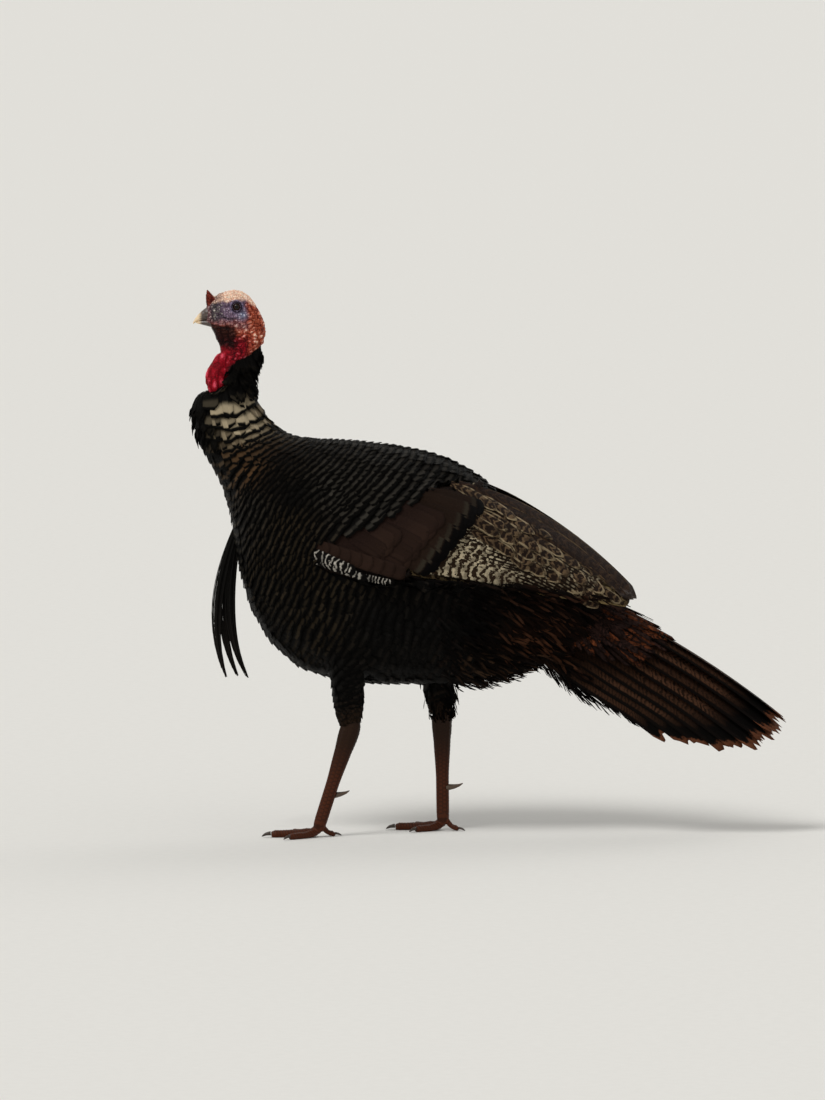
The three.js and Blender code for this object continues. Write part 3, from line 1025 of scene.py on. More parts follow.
# Place on the left side, way that a feather points there, spacing of the rows, and sheen.
LIE: tuple[tuple[tuple, tuple, float, Sheen], ...] = (
    ((0, -437, 742), (0, -0.15, -1), 8, BLACK),
    ((24, -395, 740), (0.1, 0.0, -1), 8, BLACK),
    ((0, -350, 742), (0, 0.5, -0.85), 8, BLACK),
    ((0, -455, 695), (0, -0.2, -0.97), 13, BLACK),
    ((33, -404, 722), (0.1, 0.12, -0.99), 14, BLACK),
    ((0, -360, 722), (0, 0.3, -0.95), 13, BLACK),
    ((0, -460, 662), (0, -0.05, -1), 13, BLACK),
    ((30, -440, 690), (0.1, 0.0, -0.99), 15, BLACK),
    ((36, -402, 704), (0.1, 0.12, -0.99), 25, CREAM),
    ((0, -356, 696), (0, 0.3, -0.95), 25, TAN),
    ((42, -392, 682), (0.12, 0.15, -0.98), 26, CREAM),
    ((44, -404, 656), (0.15, 0.2, -0.96), 21, TAN),
    ((40, -432, 648), (0.15, 0.1, -0.96), 16, BLACK),
    ((50, -396, 622), (0.2, 0.3, -0.93), 14, UMBER),
    ((54, -362, 626), (0.3, 0.45, -0.84), 14, EARTH),
    ((0, -335, 640), (0, 0.7, -0.7), 15, SOOT),
    ((0, -452, 615), (0, 0.2, -0.98), 13, SOOT),
    ((60, -385, 595), (0.3, 0.5, -0.8), 12, UMBER),
    ((58, -340, 600), (0.35, 0.6, -0.7), 12, BLACK),
    ((0, -425, 540), (0, 0.35, -0.95), 9, SLATE),
    ((70, -385, 530), (0.3, 0.85, -0.45), 9, SLATE),
    ((76, -352, 572), (0.25, 0.75, -0.6), 9.5, BLACK),
    ((92, -318, 548), (0.2, 0.75, -0.6), 10, BLACK),
    ((0, -395, 450), (0, 0.5, -0.86), 9, SLATE),
    ((95, -325, 500), (0.1, 0.93, -0.35), 8.5, BRONZE),
    ((62, -365, 430), (0.25, 0.9, -0.36), 9, BRONZE),
    ((106, -290, 430), (0.05, 0.94, -0.34), 9, BRONZE),
    ((0, -350, 350), (0, 0.75, -0.66), 11, BLACK),
    ((84, -290, 340), (0, 0.93, -0.36), 12, BRONZE),
    ((0, -250, 245), (0, 1, -0.05), 14, BLACK),
    ((104, -200, 350), (0, 0.94, -0.34), 13, BLACK),
    ((70, -250, 270), (0, 0.95, -0.3), 13, BLACK),
    ((0, -130, 234), (0, 1, 0), 15, BLACK),
    ((80, -160, 260), (0, 0.95, -0.3), 14, BLACK),
    ((113, -120, 340), (0, 0.94, -0.33), 14, BLACK),
    ((108, -70, 340), (0, 0.92, -0.38), 14, BLACK),
    ((92, -40, 270), (0, 0.9, -0.44), 15, EARTH),
    ((96, 30, 320), (0, 0.9, -0.44), 15, CHESTNUT),
    ((60, 30, 240), (0, 0.88, -0.44), 16, EARTH),
    ((76, 100, 300), (0, 0.86, -0.5), 16, CHESTNUT),
    ((0, 80, 245), (0, 0.92, -0.35), 16, BLACK),
    ((46, 160, 280), (0, 0.84, -0.54), 17, MAUVE),
    ((0, 190, 215), (0, 0.85, -0.5), 17, SOOT),
    ((0, -270, 617), (0, 1, -0.05), 11, SOOT),
    ((50, -275, 600), (0.3, 0.8, -0.5), 11, SLATE),
    ((90, -260, 560), (0.15, 0.62, -0.76), 11, GREY),
    ((0, -180, 610), (0, 1, -0.08), 12, SOOT),
    ((60, -180, 592), (0.25, 0.72, -0.62), 12, GREY),
    ((110, -200, 510), (0.02, 0.58, -0.81), 15, GREY),
    ((118, -230, 450), (0, 0.78, -0.62), 11, BRONZE),
    ((0, -80, 590), (0, 0.98, -0.2), 14, SOOT),
    ((84, -90, 560), (0.12, 0.62, -0.76), 14, GREY),
    ((112, -100, 515), (0, 0.6, -0.8), 18, GREY),
    ((50, -15, 562), (0, 0.82, -0.55), 17, SOOT),
    ((0, 0, 545), (0, 0.92, -0.38), 15, SOOT),
    ((0, 80, 478), (0, 0.85, -0.5), 15, MAUVE),
    ((0, 150, 405), (0, 0.8, -0.6), 15, MAUVE),
)
THIGH_LIE = (
    (SIDES["left"], ((58, -215, 262), (0, 0.15, -1), 9, SOOT)),
    (SIDES["left"], ((58, -212, 192), (0, 0.05, -1), 8, EARTH)),
    (SIDES["right"], ((58, -80, 262), (0, 0.15, -1), 9, SOOT)),
    (SIDES["right"], ((58, -78, 192), (0, 0.05, -1), 8, EARTH)),
)


class Envelope:
    """Smooth outer surface of the plumage, with the lie, size and sheen of the feathers on it."""

    NODES = (
        "trunk", "neck_feathered", "neck_bare", "thigh_left", "thigh_right", "tail_coverts_under",
        *(f"wing_{side}_{part}" for part in ("coverts", "secondaries", "primaries") for side in SIDES),
    )
    # Cell size and reach of each anchor in millimetres, and passes of smoothing.
    VOXEL, REACH, ROUNDS = 5.0, 18.0, 6
    # Steps at most, and the error that ends them, in numbering the rows.
    PASSES, ENOUGH = 700, 1e-10
    # Unit of the waves in the rows in metres, and between which levels they fade out upwards.
    WAVE, STRAIGHT, WAVY = 0.03, -20.5, -18.5
    # Where between two whole numbers a row lies, and how closely feathers stand in it.
    LEVEL, CLOSE, SLIM_CLOSE = 0.137, 0.86, 0.3

    def __init__(self, bird: Bird) -> None:
        """Builds the surface.

        Args:
            bird: The bird.
        """
        self.bird = bird
        self.obj = bird.tucked(remeshed(bird.copy("envelope", *self.NODES), self.VOXEL * MM, self.ROUNDS))
        self.points, self.normals = vertices_of(self.obj), normals_of(self.obj)
        self.triangles = triangles_of(self.obj)
        self.tree = BVHTree.FromPolygons(self.points.tolist(), self.triangles.tolist())
        self.face_normals = unit(self.normals[self.triangles].mean(1))
        self.flow, self.pitch, self.tint = self.lie(self.points, self.normals)
        self.rank = self.ranks()

    def lie(self, points: Array, normals: Array) -> tuple[Array, Array, Array]:
        """Blends the lie of the coat at points on the surface.

        Args:
            points: (n, 3) metres.
            normals: (n, 3) outward normals.

        Returns:
            Directions along the surface, row spacings in metres, and sheen colours.
        """
        anchors = []
        for side in SIDES.values():
            anchors += [(side, row) for row in LIE] + [item for item in THIGH_LIE if item[0] == side]
        where = np.array([(side * row[0][0], *row[0][1:]) for side, row in anchors])
        way = unit(np.array([(side * row[1][0], *row[1][1:]) for side, row in anchors]))
        spacing = np.array([row[2] for _, row in anchors]) * MM
        sheen = np.array([row[3].value for _, row in anchors])
        gap = ((self.bird.mm(points)[:, None] - where[None]) ** 2).sum(2)
        weight = 1 / (gap + self.REACH**2) ** 2
        weight /= weight.sum(1, keepdims=True)
        flow = weight @ way
        flow = unit(flow - normals * (flow * normals).sum(1, keepdims=True))
        return flow, weight @ spacing, weight @ sheen

    def ranks(self) -> Array:
        """Numbers the rows.

        Returns:
            A value at each vertex that grows by one from row to row.
        """
        pairs = [self.triangles[:, pair] for pair in ([0, 1], [1, 2], [2, 0])]
        a, b = np.unique(np.sort(np.concatenate(pairs), axis=1), axis=0).T
        count = len(self.points)
        rate = self.flow / self.pitch[:, None]
        climb = ((rate[a] + rate[b]) / 2 * (self.points[b] - self.points[a])).sum(1)

        def spread(values: Array) -> Array:
            """Adds up at each vertex what its edges bring."""
            return np.bincount(b, values, count) - np.bincount(a, values, count)

        rank = np.zeros(count)
        left = spread(climb)
        push, size = left.copy(), left @ left
        for _ in range(self.PASSES):
            drag = spread(push[b] - push[a])
            step = size / max(push @ drag, 1e-30)
            rank += step * push
            left -= step * drag
            new = left @ left
            if new < self.ENOUGH:
                break
            push, size = left + push * new / size, new
        return rank + self.waves()

    def waves(self) -> Array:
        """Bends the rows a little, except on the neck and the upper back.

        Returns:
            What each vertex's rank gains.
        """
        _, y, z = self.points.T / self.WAVE
        wave = 0.26 * np.sin(1.4 * y + 2.2 * np.sin(0.9 * z))
        wave = wave + 0.18 * np.sin(2.9 * z + 1.7 * np.sin(1.2 * y))
        return wave * smooth(-z, self.STRAIGHT, self.WAVY)

    def chains(self, level: float) -> list[Array]:
        """Follows the lines of equal rank on the surface.

        Args:
            level: The rank.

        Returns:
            Each line's points in order.
        """
        above = self.rank[self.triangles] > level
        crossed = self.triangles[above.any(1) & ~above.all(1)]
        ends: dict[tuple[int, int], list[int]] = {}
        segments: list[list[tuple[int, int]]] = []
        for corners in crossed.tolist():
            keys = []
            for a, b in ((corners[0], corners[1]), (corners[1], corners[2]), (corners[2], corners[0])):
                if (self.rank[a] > level) != (self.rank[b] > level):
                    keys.append((min(a, b), max(a, b)))
            for key in keys:
                ends.setdefault(key, []).append(len(segments))
            segments.append(keys)
        used = [False] * len(segments)
        lines = []
        for start in sorted(range(len(segments)), key=lambda s: min(len(ends[k]) for k in segments[s])):
            if used[start]:
                continue
            used[start] = True
            line = list(segments[start])
            for grow in (1, -1):
                while True:
                    tail = line[-1] if grow == 1 else line[0]
                    after = [s for s in ends[tail] if not used[s]]
                    if not after:
                        break
                    used[after[0]] = True
                    nxt = [k for k in segments[after[0]] if k != tail]
                    if not nxt:
                        break
                    if grow == 1:
                        line.append(nxt[0])
                    else:
                        line.insert(0, nxt[0])
            a, b = np.array(line).T
            t = ((level - self.rank[a]) / (self.rank[b] - self.rank[a]))[:, None]
            lines.append(self.points[a] * (1 - t) + self.points[b] * t)
        return lines

    def roots(self, random: np.random.Generator) -> Array:
        """Places feather roots in staggered rows, closer together where the feathers are slim.

        Args:
            random: Source of the small unevenness.

        Returns:
            (n, 3) roots in metres.
        """
        found = []
        for level in range(math.ceil(self.rank.min()), math.floor(self.rank.max()) + 1):
            for line in self.chains(level + self.LEVEL):
                way = np.concatenate([[0], np.cumsum(np.linalg.norm(np.diff(line, axis=0), axis=1))])
                at = (0.25 + 0.5 * (level % 2)) * 0.01
                while at < way[-1]:
                    i = min(int(np.searchsorted(way, at)), len(line) - 1)
                    t = (at - way[i - 1]) / max(way[i] - way[i - 1], 1e-9) if i else 0.0
                    point = line[i - 1] * (1 - t) + line[i] * t if i else line[0]
                    found.append(point)
                    face = self.tree.find_nearest(point)[2]
                    gap = self.SLIM_CLOSE if self.slim(*self.bird.mm(point)[1:]) else self.CLOSE
                    at += gap * self.pitch[self.triangles[face]].mean() * random.uniform(0.93, 1.07)
        return np.array(found)

    @staticmethod
    def slim(y: float, z: float) -> bool:
        """Tells where the feathers are slim: collar, thighs and hind flank."""
        front = y < COLLAR_FRONT and z > COLLAR_FOOT
        return z > COLLAR_TOP or z < THIGH_TOP or front or (y > FLANK_FROM and z < FLANK_TOP)

    def follow(self, roots: Array, length: Array, steps: int, sway: Array) -> tuple[Array, Array, Array]:
        """Runs centrelines along the surface with the lie of the coat.

        Args:
            roots: (n, 3) starts.
            length: (n,) lengths.
            steps: Points on each line.
            sway: (n,) turns away from the lie, in radians.

        Returns:
            Points, normals and directions, (n, steps, 3) each.
        """
        here, lines, ways = roots, [], None
        for _ in range(steps):
            hits = [self.tree.find_nearest(p) for p in here.tolist()]
            here = np.array([h[0][:] for h in hits])
            face = np.array([h[2] for h in hits])
            normal = self.face_normals[face]
            flow = self.flow[self.triangles[face]].mean(1)
            flow = flow + np.cross(normal, flow) * np.tan(sway)[:, None]
            ways = flow if ways is None else unit(ways) * 0.45 + flow * 0.55
            ways = unit(ways - normal * (ways * normal).sum(1, keepdims=True))
            lines.append((here, normal, ways))
            here = here + ways * (length / (steps - 1))[:, None]
        return tuple(np.stack([line[k] for line in lines], 1) for k in range(3))


@dataclass(frozen=True)
class Tract:
    """One region of small feathers.

    Attributes:
        name: Name of the piece.
        slot: The record's slot.
        test: Tells from roots in millimetres which of them are in the region.
        form: The feathers' shape.
        finish: Their finish.
        stretch: Length in row spacings.
        breadth: Width in row spacings.
        sway: How far they stray from the lie, in radians.
        streaks: Share of them that carries the sheen; the others stay dark.
        even: Gives all of them nearly the same sheen.
        loose: How far the loosest tips hang away from the body, in metres.
    """

    name: str
    slot: str
    test: Callable[[Array], Array]
    form: VaneForm
    finish: VaneFinish
    stretch: float = 3.1
    breadth: float = 1.55
    sway: float = 0.05
    streaks: float = 1.0
    even: bool = False
    loose: float = 0.0


# The part of the folded wing that long feathers cover, seen from the side, and how near the
# middle plane it reaches along the body.
WING_OUTLINE = (
    (-286, 440), (-290, 474), (-226, 500), (-165, 531), (-103, 557), (-42, 572), (6, 572), (60, 535),
    (150, 460), (236, 372), (229, 352), (120, 382), (20, 398), (-90, 406), (-150, 400), (-240, 410),
    (-280, 430),
)
WING_INNER = (
    (-300, -100, -85, -66, -46, 20, 60, 109, 171, 230),
    (40, 48, 66, 66, 42, 26, 20, 13, 9, 12),
)
# Levels and places in millimetres where one region of small feathers ends and the next begins.
COLLAR_TOP, COLLAR_FRONT, COLLAR_FOOT = 717, -434, 640
THIGH_TOP = 226
MANTLE_FROM, MANTLE_FOOT = -332, 446
FLANK_FROM, FLANK_TOP = -105.0, 440


def collar(p: Array) -> Array:
    """Top and front of the neck, where the feathers part into spikes."""
    return (p[:, 2] > COLLAR_TOP) | ((p[:, 1] < COLLAR_FRONT) & (p[:, 2] > COLLAR_FOOT))


def neck(p: Array) -> Array:
    """Feathered neck."""
    return (p[:, 2] > 612 - 0.35 * (p[:, 1] + 400)) & (p[:, 1] < -322) & ~collar(p)


def on_wing(p: Array) -> Array:
    """Under the long feathers of a folded wing."""
    return inside(p[:, 1:], WING_OUTLINE) & (np.abs(p[:, 0]) > np.interp(p[:, 1], *WING_INNER))


def thigh(p: Array) -> Array:
    """Feathered legs."""
    return p[:, 2] < THIGH_TOP


def mantle(p: Array) -> Array:
    """Back, shoulders and rump."""
    foot = np.where(p[:, 1] < -240, 585 - 0.28 * (p[:, 1] + 330), MANTLE_FOOT)
    return (p[:, 1] > MANTLE_FROM) & (p[:, 2] > foot) & ~neck(p) & ~collar(p)


def flank(p: Array) -> Array:
    """Hind flank, vent and under tail."""
    mingled = 32 * np.sin(p[:, 1] * 12.9898 + p[:, 2] * 78.233)
    return (p[:, 1] > FLANK_FROM + 15 + mingled) & ~mantle(p)


def breast(p: Array) -> Array:
    """What is left: breast, side and belly."""
    return ~(collar(p) | neck(p) | thigh(p) | mantle(p) | flank(p))


class Plumage:
    """The small feathers of neck, body and thighs, and the skin's depth below them."""

    DARK = linear(7, 6, 5)
    # Points on each centreline, and the most triangles that one piece may have.
    STEPS, MOST = 7, 190000

    def __init__(self, bird: Bird, coat: Coat) -> None:
        """Builds the envelope that the feathers lie on.

        Args:
            bird: The bird.
            coat: What builds the feathers.
        """
        self.bird, self.coat = bird, coat
        self.envelope = Envelope(bird)

    def tracts(self) -> tuple[Tract, ...]:
        """The regions with their feathers' form and finish.

        Returns:
            The regions, in the order in which they take their feathers.
        """
        return (
            Tract(
                "collar_feathers", "body_plumage", collar,
                VaneForm(flick=0.003, ragged=1.4, roundness=1.2, power=1.4),
                VaneFinish(
                    "collar_plumage", self.DARK, band=(0.7, 0.8, 0.9, 0.98), roughness=0.6, specular=0.04),
                stretch=3.6, breadth=0.8, sway=0.16, streaks=0.0, loose=0.009),
            Tract(
                "neck_feathers", "body_plumage", neck,
                VaneForm(ragged=0.4, roundness=0.25, power=3.0, camber=0.015),
                VaneFinish("neck_plumage", self.DARK, band=(0.5, 0.7, 0.85, 0.93), mottle=0.6, uneven=0.15),
                stretch=2.7, breadth=1.7, sway=0.02, even=True),
            Tract(
                "breast_feathers", "body_plumage", breast,
                VaneForm(roundness=0.16, power=4.0, ragged=0.16, camber=0.035, flick=0.0008),
                VaneFinish("body_plumage", self.DARK, band=(0.73, 0.83, 0.9, 0.95))),
            Tract(
                "mantle_feathers", "body_plumage", mantle,
                VaneForm(roundness=0.2, power=3.0, ragged=0.35, camber=0.015, flick=0.001),
                VaneFinish("mantle_plumage", self.DARK, band=(0.66, 0.78, 0.86, 0.91), uneven=0.35),
                stretch=2.9, breadth=1.8, sway=0.03, even=True),
            Tract(
                "flank_feathers", "soft_plumage", flank,
                VaneForm(roundness=2.0, power=1.1, ragged=2.6, flick=0.003, stem=0.6),
                VaneFinish(
                    "soft_plumage", linear(14, 9, 7), band=(0.5, 0.8, 1.1, 1.2), mottle=0.5, roughness=0.7,
                    specular=0.04),
                stretch=4.0, breadth=0.28, sway=0.26, streaks=0.3, loose=0.012),
            Tract(
                "thigh_feathers", "body_plumage", thigh,
                VaneForm(roundness=0.8, power=1.6, ragged=1.0),
                VaneFinish(
                    "thigh_plumage", linear(13, 10, 8), band=(0.4, 0.8, 0.95, 1.02), roughness=0.6,
                    specular=0.06),
                stretch=3.0, breadth=0.9, sway=0.12, loose=0.003),
        )

    def lay(self) -> None:
        """Lays all the small feathers, region by region."""
        roots = self.envelope.roots(self.coat.random)
        place = self.bird.mm(roots)
        bare = place[:, 2] > 746 + 0.52 * (place[:, 1] + 406)
        roots = roots[~on_wing(place) & ~bare]
        place = self.bird.mm(roots)
        taken = np.zeros(len(roots), bool)
        for tract in self.tracts():
            mask = tract.test(place) & ~taken
            taken |= mask
            self.dress(tract, roots[mask])

    def dress(self, tract: Tract, roots: Array) -> None:
        """Lays the feathers of one region, in as many pieces as their number asks for.

        Args:
            tract: The region.
            roots: (n, 3) roots in metres.
        """
        envelope, random, count = self.envelope, self.coat.random, len(roots)
        near = np.array([envelope.tree.find_nearest(p)[2] for p in roots.tolist()])
        corner = envelope.triangles[near]
        pitch, tint = envelope.pitch[corner].mean(1), envelope.tint[corner].mean(1)
        vary = 0.02 if tract.even else 0.08
        length = pitch * tract.stretch * random.uniform(1 - vary, 1 + vary, count)
        sway = random.normal(0, tract.sway, count)
        points, normals, flows = envelope.follow(roots, length, self.STEPS, sway)
        away = np.linspace(0, 1, self.STEPS)[None, :, None] ** 2 * tract.loose
        away = away * random.random((count, 1, 1))
        points = points + away * (0.5 * normals + np.array((0, 0.2, -0.7)))
        width = pitch * tract.breadth * random.uniform(0.94, 1.06, count)
        depth = self.depth(pitch) + random.uniform(-0.0003, 0.0003, count)
        lay = Lay(points, normals, flows, length, width, depth)
        tint = tint * random.uniform(1 - 4 * vary, 1 + 4 * vary, (count, 1))
        tint = tint * np.where(random.random((count, 1)) < tract.streaks, 1.0, 0.12)
        material = tract.finish.build()
        limit = self.MOST // (2 * len(tract.form.model()[1]))
        for k in range(math.ceil(count / limit)):
            part = slice(k * limit, (k + 1) * limit)
            name = tract.name + (f"_{k + 1}" if count > limit else "")
            piece = self.coat.build(name, lay.chosen(part), tract.form, material, tract.slot, tint[part])
            if name == "flank_feathers_1":
                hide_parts("tail_coverts_under")

    @staticmethod
    def depth(pitch: Array) -> Array:
        """Depth of the roots below the feather tips, from the spacing of the rows."""
        return 0.001 + 0.36 * pitch


# ---- skin ----


class HeadSkin:
    """Bare skin of head and neck: crown, lids, lore, folds, lumps, caruncles and snood."""

    NODES = ("head", "neck_bare", "throat_caruncles", "snood", "ear_left", "ear_right")
    VOXEL = 0.95
    LID = {"major_radius": 0.0068, "minor_radius": 0.0013, "major_segments": 32, "minor_segments": 10}
    LID_AWAY = 20.4
    CORE, CORE_SIZE = (0, -391, 724), (0.0225, 0.033, 0.032)
    # Top of the snood, front of its base, and how much wider than its solid the base is.
    SNOOD_TOP, SNOOD_FRONT, SNOOD_SPREAD = 846, -437, 0.45

    def __init__(self, bird: Bird) -> None:
        """Takes the bird."""
        self.bird = bird

    def lid(self, side: float) -> Obj:
        """Models the ring of an eyelid round an eye.

        Args:
            side: 1 for the left eye, -1 for the right.

        Returns:
            The ring.
        """
        deselect()
        centre = self.bird.at((side * self.LID_AWAY, *EYE_CENTRE[1:])).tolist()
        bpy.ops.mesh.primitive_torus_add(location=centre, rotation=(0, math.pi / 2, 0), **self.LID)
        return settled(bpy.context.object)

    def core(self) -> Obj:
        """Models the part of the bare neck that runs down inside the feathers.

        Returns:
            The part.
        """
        deselect()
        centre = self.bird.at(self.CORE).tolist()
        bpy.ops.mesh.primitive_uv_sphere_add(segments=32, ring_count=20, radius=1, location=centre)
        bpy.context.object.scale = self.CORE_SIZE
        return settled(bpy.context.object)

    def build(self) -> Obj:
        """Builds the fine shell of the bare skin with its tint and relief.

        Returns:
            The shell.
        """
        parts = [self.bird.copy("head_skin", *self.NODES), self.core(), self.lid(1.0), self.lid(-1.0)]
        shell = remeshed(joined("head_skin", parts), self.VOXEL * MM, 4)
        points, normals = vertices_of(shell), normals_of(shell)
        p = self.bird.mm(points)
        lattice = np.stack([np.abs(p[:, 0]), p[:, 1], p[:, 2]], 1)
        x, y, z = lattice.T

        def wander(k: float) -> Array:
            """How far the creases stray from straight lines."""
            stray = np.sin(y / 3.1 + z / 4.3 + k) + np.sin(z / 2.3 - y / 3.7 + 2 * k)
            return stray + 0.7 * np.sin(x / 1.9 + y / 1.7 + 3 * k)

        stray, lift = wander(0.3), wander(1.7)
        y, z = y + 0.8 * stray, z + 0.8 * lift

        def seams(width: float, *scales: float) -> Array:
            """Lumps of one size parted by creases: 0 in a crease, 1 on a lump."""
            near, second = cells(lattice / scales + 3.7 * scales[0])
            return np.clip(second - near, 0, width) / width

        true_x, true_y, true_z = p.T
        slanted = np.stack([true_x, true_y + 0.25 * true_z, true_z - 0.3 * true_y + 0.8 * stray], 1)
        near, second = cells(slanted / (12.0, 11.0, 6.0))
        lump = np.clip(second - near, 0, 0.75) / 0.75
        big, fine = seams(0.7, 11.0, 12.0, 22.0), seams(0.6, 3.8, 3.8, 3.0)
        patch = seams(0.9, 9.0, 7.0, 6.0)
        eye = np.hypot(true_y - EYE_CENTRE[1], true_z - EYE_CENTRE[2])
        outer = x > 12
        # Where each kind of skin lies, from 0 to 1.
        caruncle = smooth(764 - z, 0, 14) * smooth(-402 - y, -4, 8)
        snood = smooth(true_z, 819, 823) * smooth(-(true_y + 419 + 0.6 * (true_z - 822)), -2, 2) * (x < 9)
        base = np.clip((self.SNOOD_TOP - true_z) / 24, 0, 1)
        points[:, 1] += self.SNOOD_SPREAD * MM * snood * np.clip(true_y - self.SNOOD_FRONT, 0, 20) * base
        crown = smooth(z - (829.5 + 0.12 * (y + 400) - 12 * smooth(y, -382, -362)), -3, 3) * (1 - snood)
        ring = gauss(eye, 7.4, 1.5) * outer
        face = smooth(z, 791, 803) * smooth(-y, 369, 379) * (1 - 0.45 * smooth(-y, 424, 434))
        throat = smooth(-y, 384, 396) * smooth(797 - z, 0, 10) * smooth(z, 749, 760)
        red = smooth(784 - z, 0, 18) * smooth(-y, 358, 380)
        jowl = gauss(true_z, 793 - 0.1 * (true_y + 400), 7.0) * smooth(-true_y, 366, 376)
        glint = np.exp(-(((true_y + 380) / 6.0) ** 2 + ((true_z - 808) / 5.0) ** 2)) * outer
        sweep = gauss(np.hypot(true_y + 398, true_z - 822), 21.0, 1.6) * outer
        sweep = sweep * smooth(-true_z, -812, -806) * smooth(-true_y, 384, 394)
        nape = (1 - crown) * (1 - face) * (1 - throat)
        wrinkle = np.sin(eye * 2.0 + stray) * gauss(eye, 12.0, 4.0) * outer
        gape = gauss(true_z - (790.5 - 0.22 * (true_y + 425)), 0.0, 1.2)
        gape = gape * smooth(-true_y, 398, 404) * smooth(true_y, -438, -430)
        fold = gauss(true_y + 0.5 * true_z, 6.0, 2.2) * smooth(true_z, 800, 806) * (1 - crown)
        feathered = 735 + 0.52 * (true_y + 406) - true_z
        covered = smooth(feathered, 0, 8) * (1 - caruncle)
        socket = 1 - gauss(eye, 0, 6.5) * outer
        front = -y + 16 * (patch - 0.5)
        # Height of the folds and lumps in millimetres.
        height = (
            2.1 * np.clip(nape + 0.9 * red, 0, 1) * (lump - 0.5) * (1 - caruncle)
            + 2.2 * caruncle * (big - 0.5)
            + 0.7 * throat * (lump - 0.5) * (1 - caruncle)
            + (0.55 * (fine - 0.5) + 0.5 * (patch - 0.5)) * face * (1 - ring) * socket
            + crown * (0.4 * (fine - 0.5) + 0.4 * (patch - 0.5)) - 1.1 * sweep + 1.0 * jowl * (fine - 0.4)
            + 0.45 * ring + 0.35 * wrinkle * (1 - crown) - 1.3 * gape - 0.8 * fold * face
            + 0.35 * np.sin((true_z - 0.5 * true_y) * 2.3) * snood
            + 0.45 * (fine - 0.5) * np.clip(nape + red + caruncle, 0, 1)
        )
        height = height * (1 - covered) - 2.0 * covered
        reshape(shell, points + normals * (height * MM)[:, None])
        relief = np.where(crown + face > 0.5, 0.55 * fine + 0.45 * patch, 0.7 * lump + 0.3 * fine)
        relief = relief * (1 - caruncle) + caruncle * (0.7 * big + 0.3 * fine)
        # Each layer of colour: how strong it is, and its tints in the creases, between and on the lumps; the
        # crease tints hold painted shade and the lump tints painted highlights, over the skin's own colour.
        add_values(shell, "tint", self.tinted(relief, (
            (np.ones(len(p)), (74, 12, 10), (178, 86, 60), (255, 216, 192)),
            (red, (40, 1, 6), (140, 14, 28), (240, 118, 132)),
            # Painted shadow under the bill, darkening the throat's red skin nearly to black.
            (throat * 0.96, (6, 1, 1), (20, 4, 3), (54, 13, 9)),
            (caruncle, (92, 3, 12), (146, 12, 28), (228, 84, 104)),
            (face, (46, 32, 46), (116, 95, 115), (188, 170, 190)),
            (jowl * 0.8 * (1 - throat), (56, 28, 30), (128, 88, 92), (204, 172, 170)),
            (face * smooth(front, 404, 420), (22, 18, 20), (84, 76, 78), (204, 196, 184)),
            (glint * 0.8, (96, 100, 122), (150, 158, 184), (214, 222, 232)),
            (crown, (206, 150, 124), (246, 212, 186), (255, 242, 224)),
            (crown * smooth(front, 402, 416), (70, 54, 50), (176, 142, 126), (236, 208, 186)),
            (ring, (10, 7, 12), (28, 22, 36), (70, 62, 86)),
            (gauss(eye, 9.8, 0.9) * outer * 0.5, (70, 62, 88), (124, 116, 150), (176, 172, 200)),
            # Painted shade along the groove of the fold that sweeps under the eye.
            (sweep * 0.8, (20, 14, 20), (34, 26, 34), (50, 40, 50)),
            (snood, (50, 10, 6), (112, 40, 28), (158, 80, 62)),
            # Painted shade in the groove of the gape.
            (gape * 0.8, (20, 12, 12), (30, 20, 20), (40, 30, 30)),
            # Painted shade on the skin along the edge of the feathers that cover it.
            (smooth(feathered, 5, 11) * (1 - caruncle), (10, 8, 8), (14, 12, 12), (18, 16, 16)),
        )))
        return shell

    @staticmethod
    def tinted(relief: Array, layers: Sequence[tuple]) -> Array:
        """Lays colours over one another.

        Args:
            relief: (n,) 0 in the creases to 1 on the lumps.
            layers: For each, its strength and its display colours for low, middle and high relief; the low
                ones are partly painted shade, the high ones partly painted highlights.

        Returns:
            (n, 3) colours.
        """
        tint = np.zeros((len(relief), 3))
        rise, top = smooth(relief, 0.0, 0.42)[:, None], smooth(relief, 0.42, 0.9)[:, None]
        for weight, *colours in layers:
            low, middle, high = (np.array(linear(*colour)) for colour in colours)
            shown = low + (middle - low) * rise + (high - middle) * top
            tint = tint * (1 - weight[:, None]) + shown * weight[:, None]
        return tint


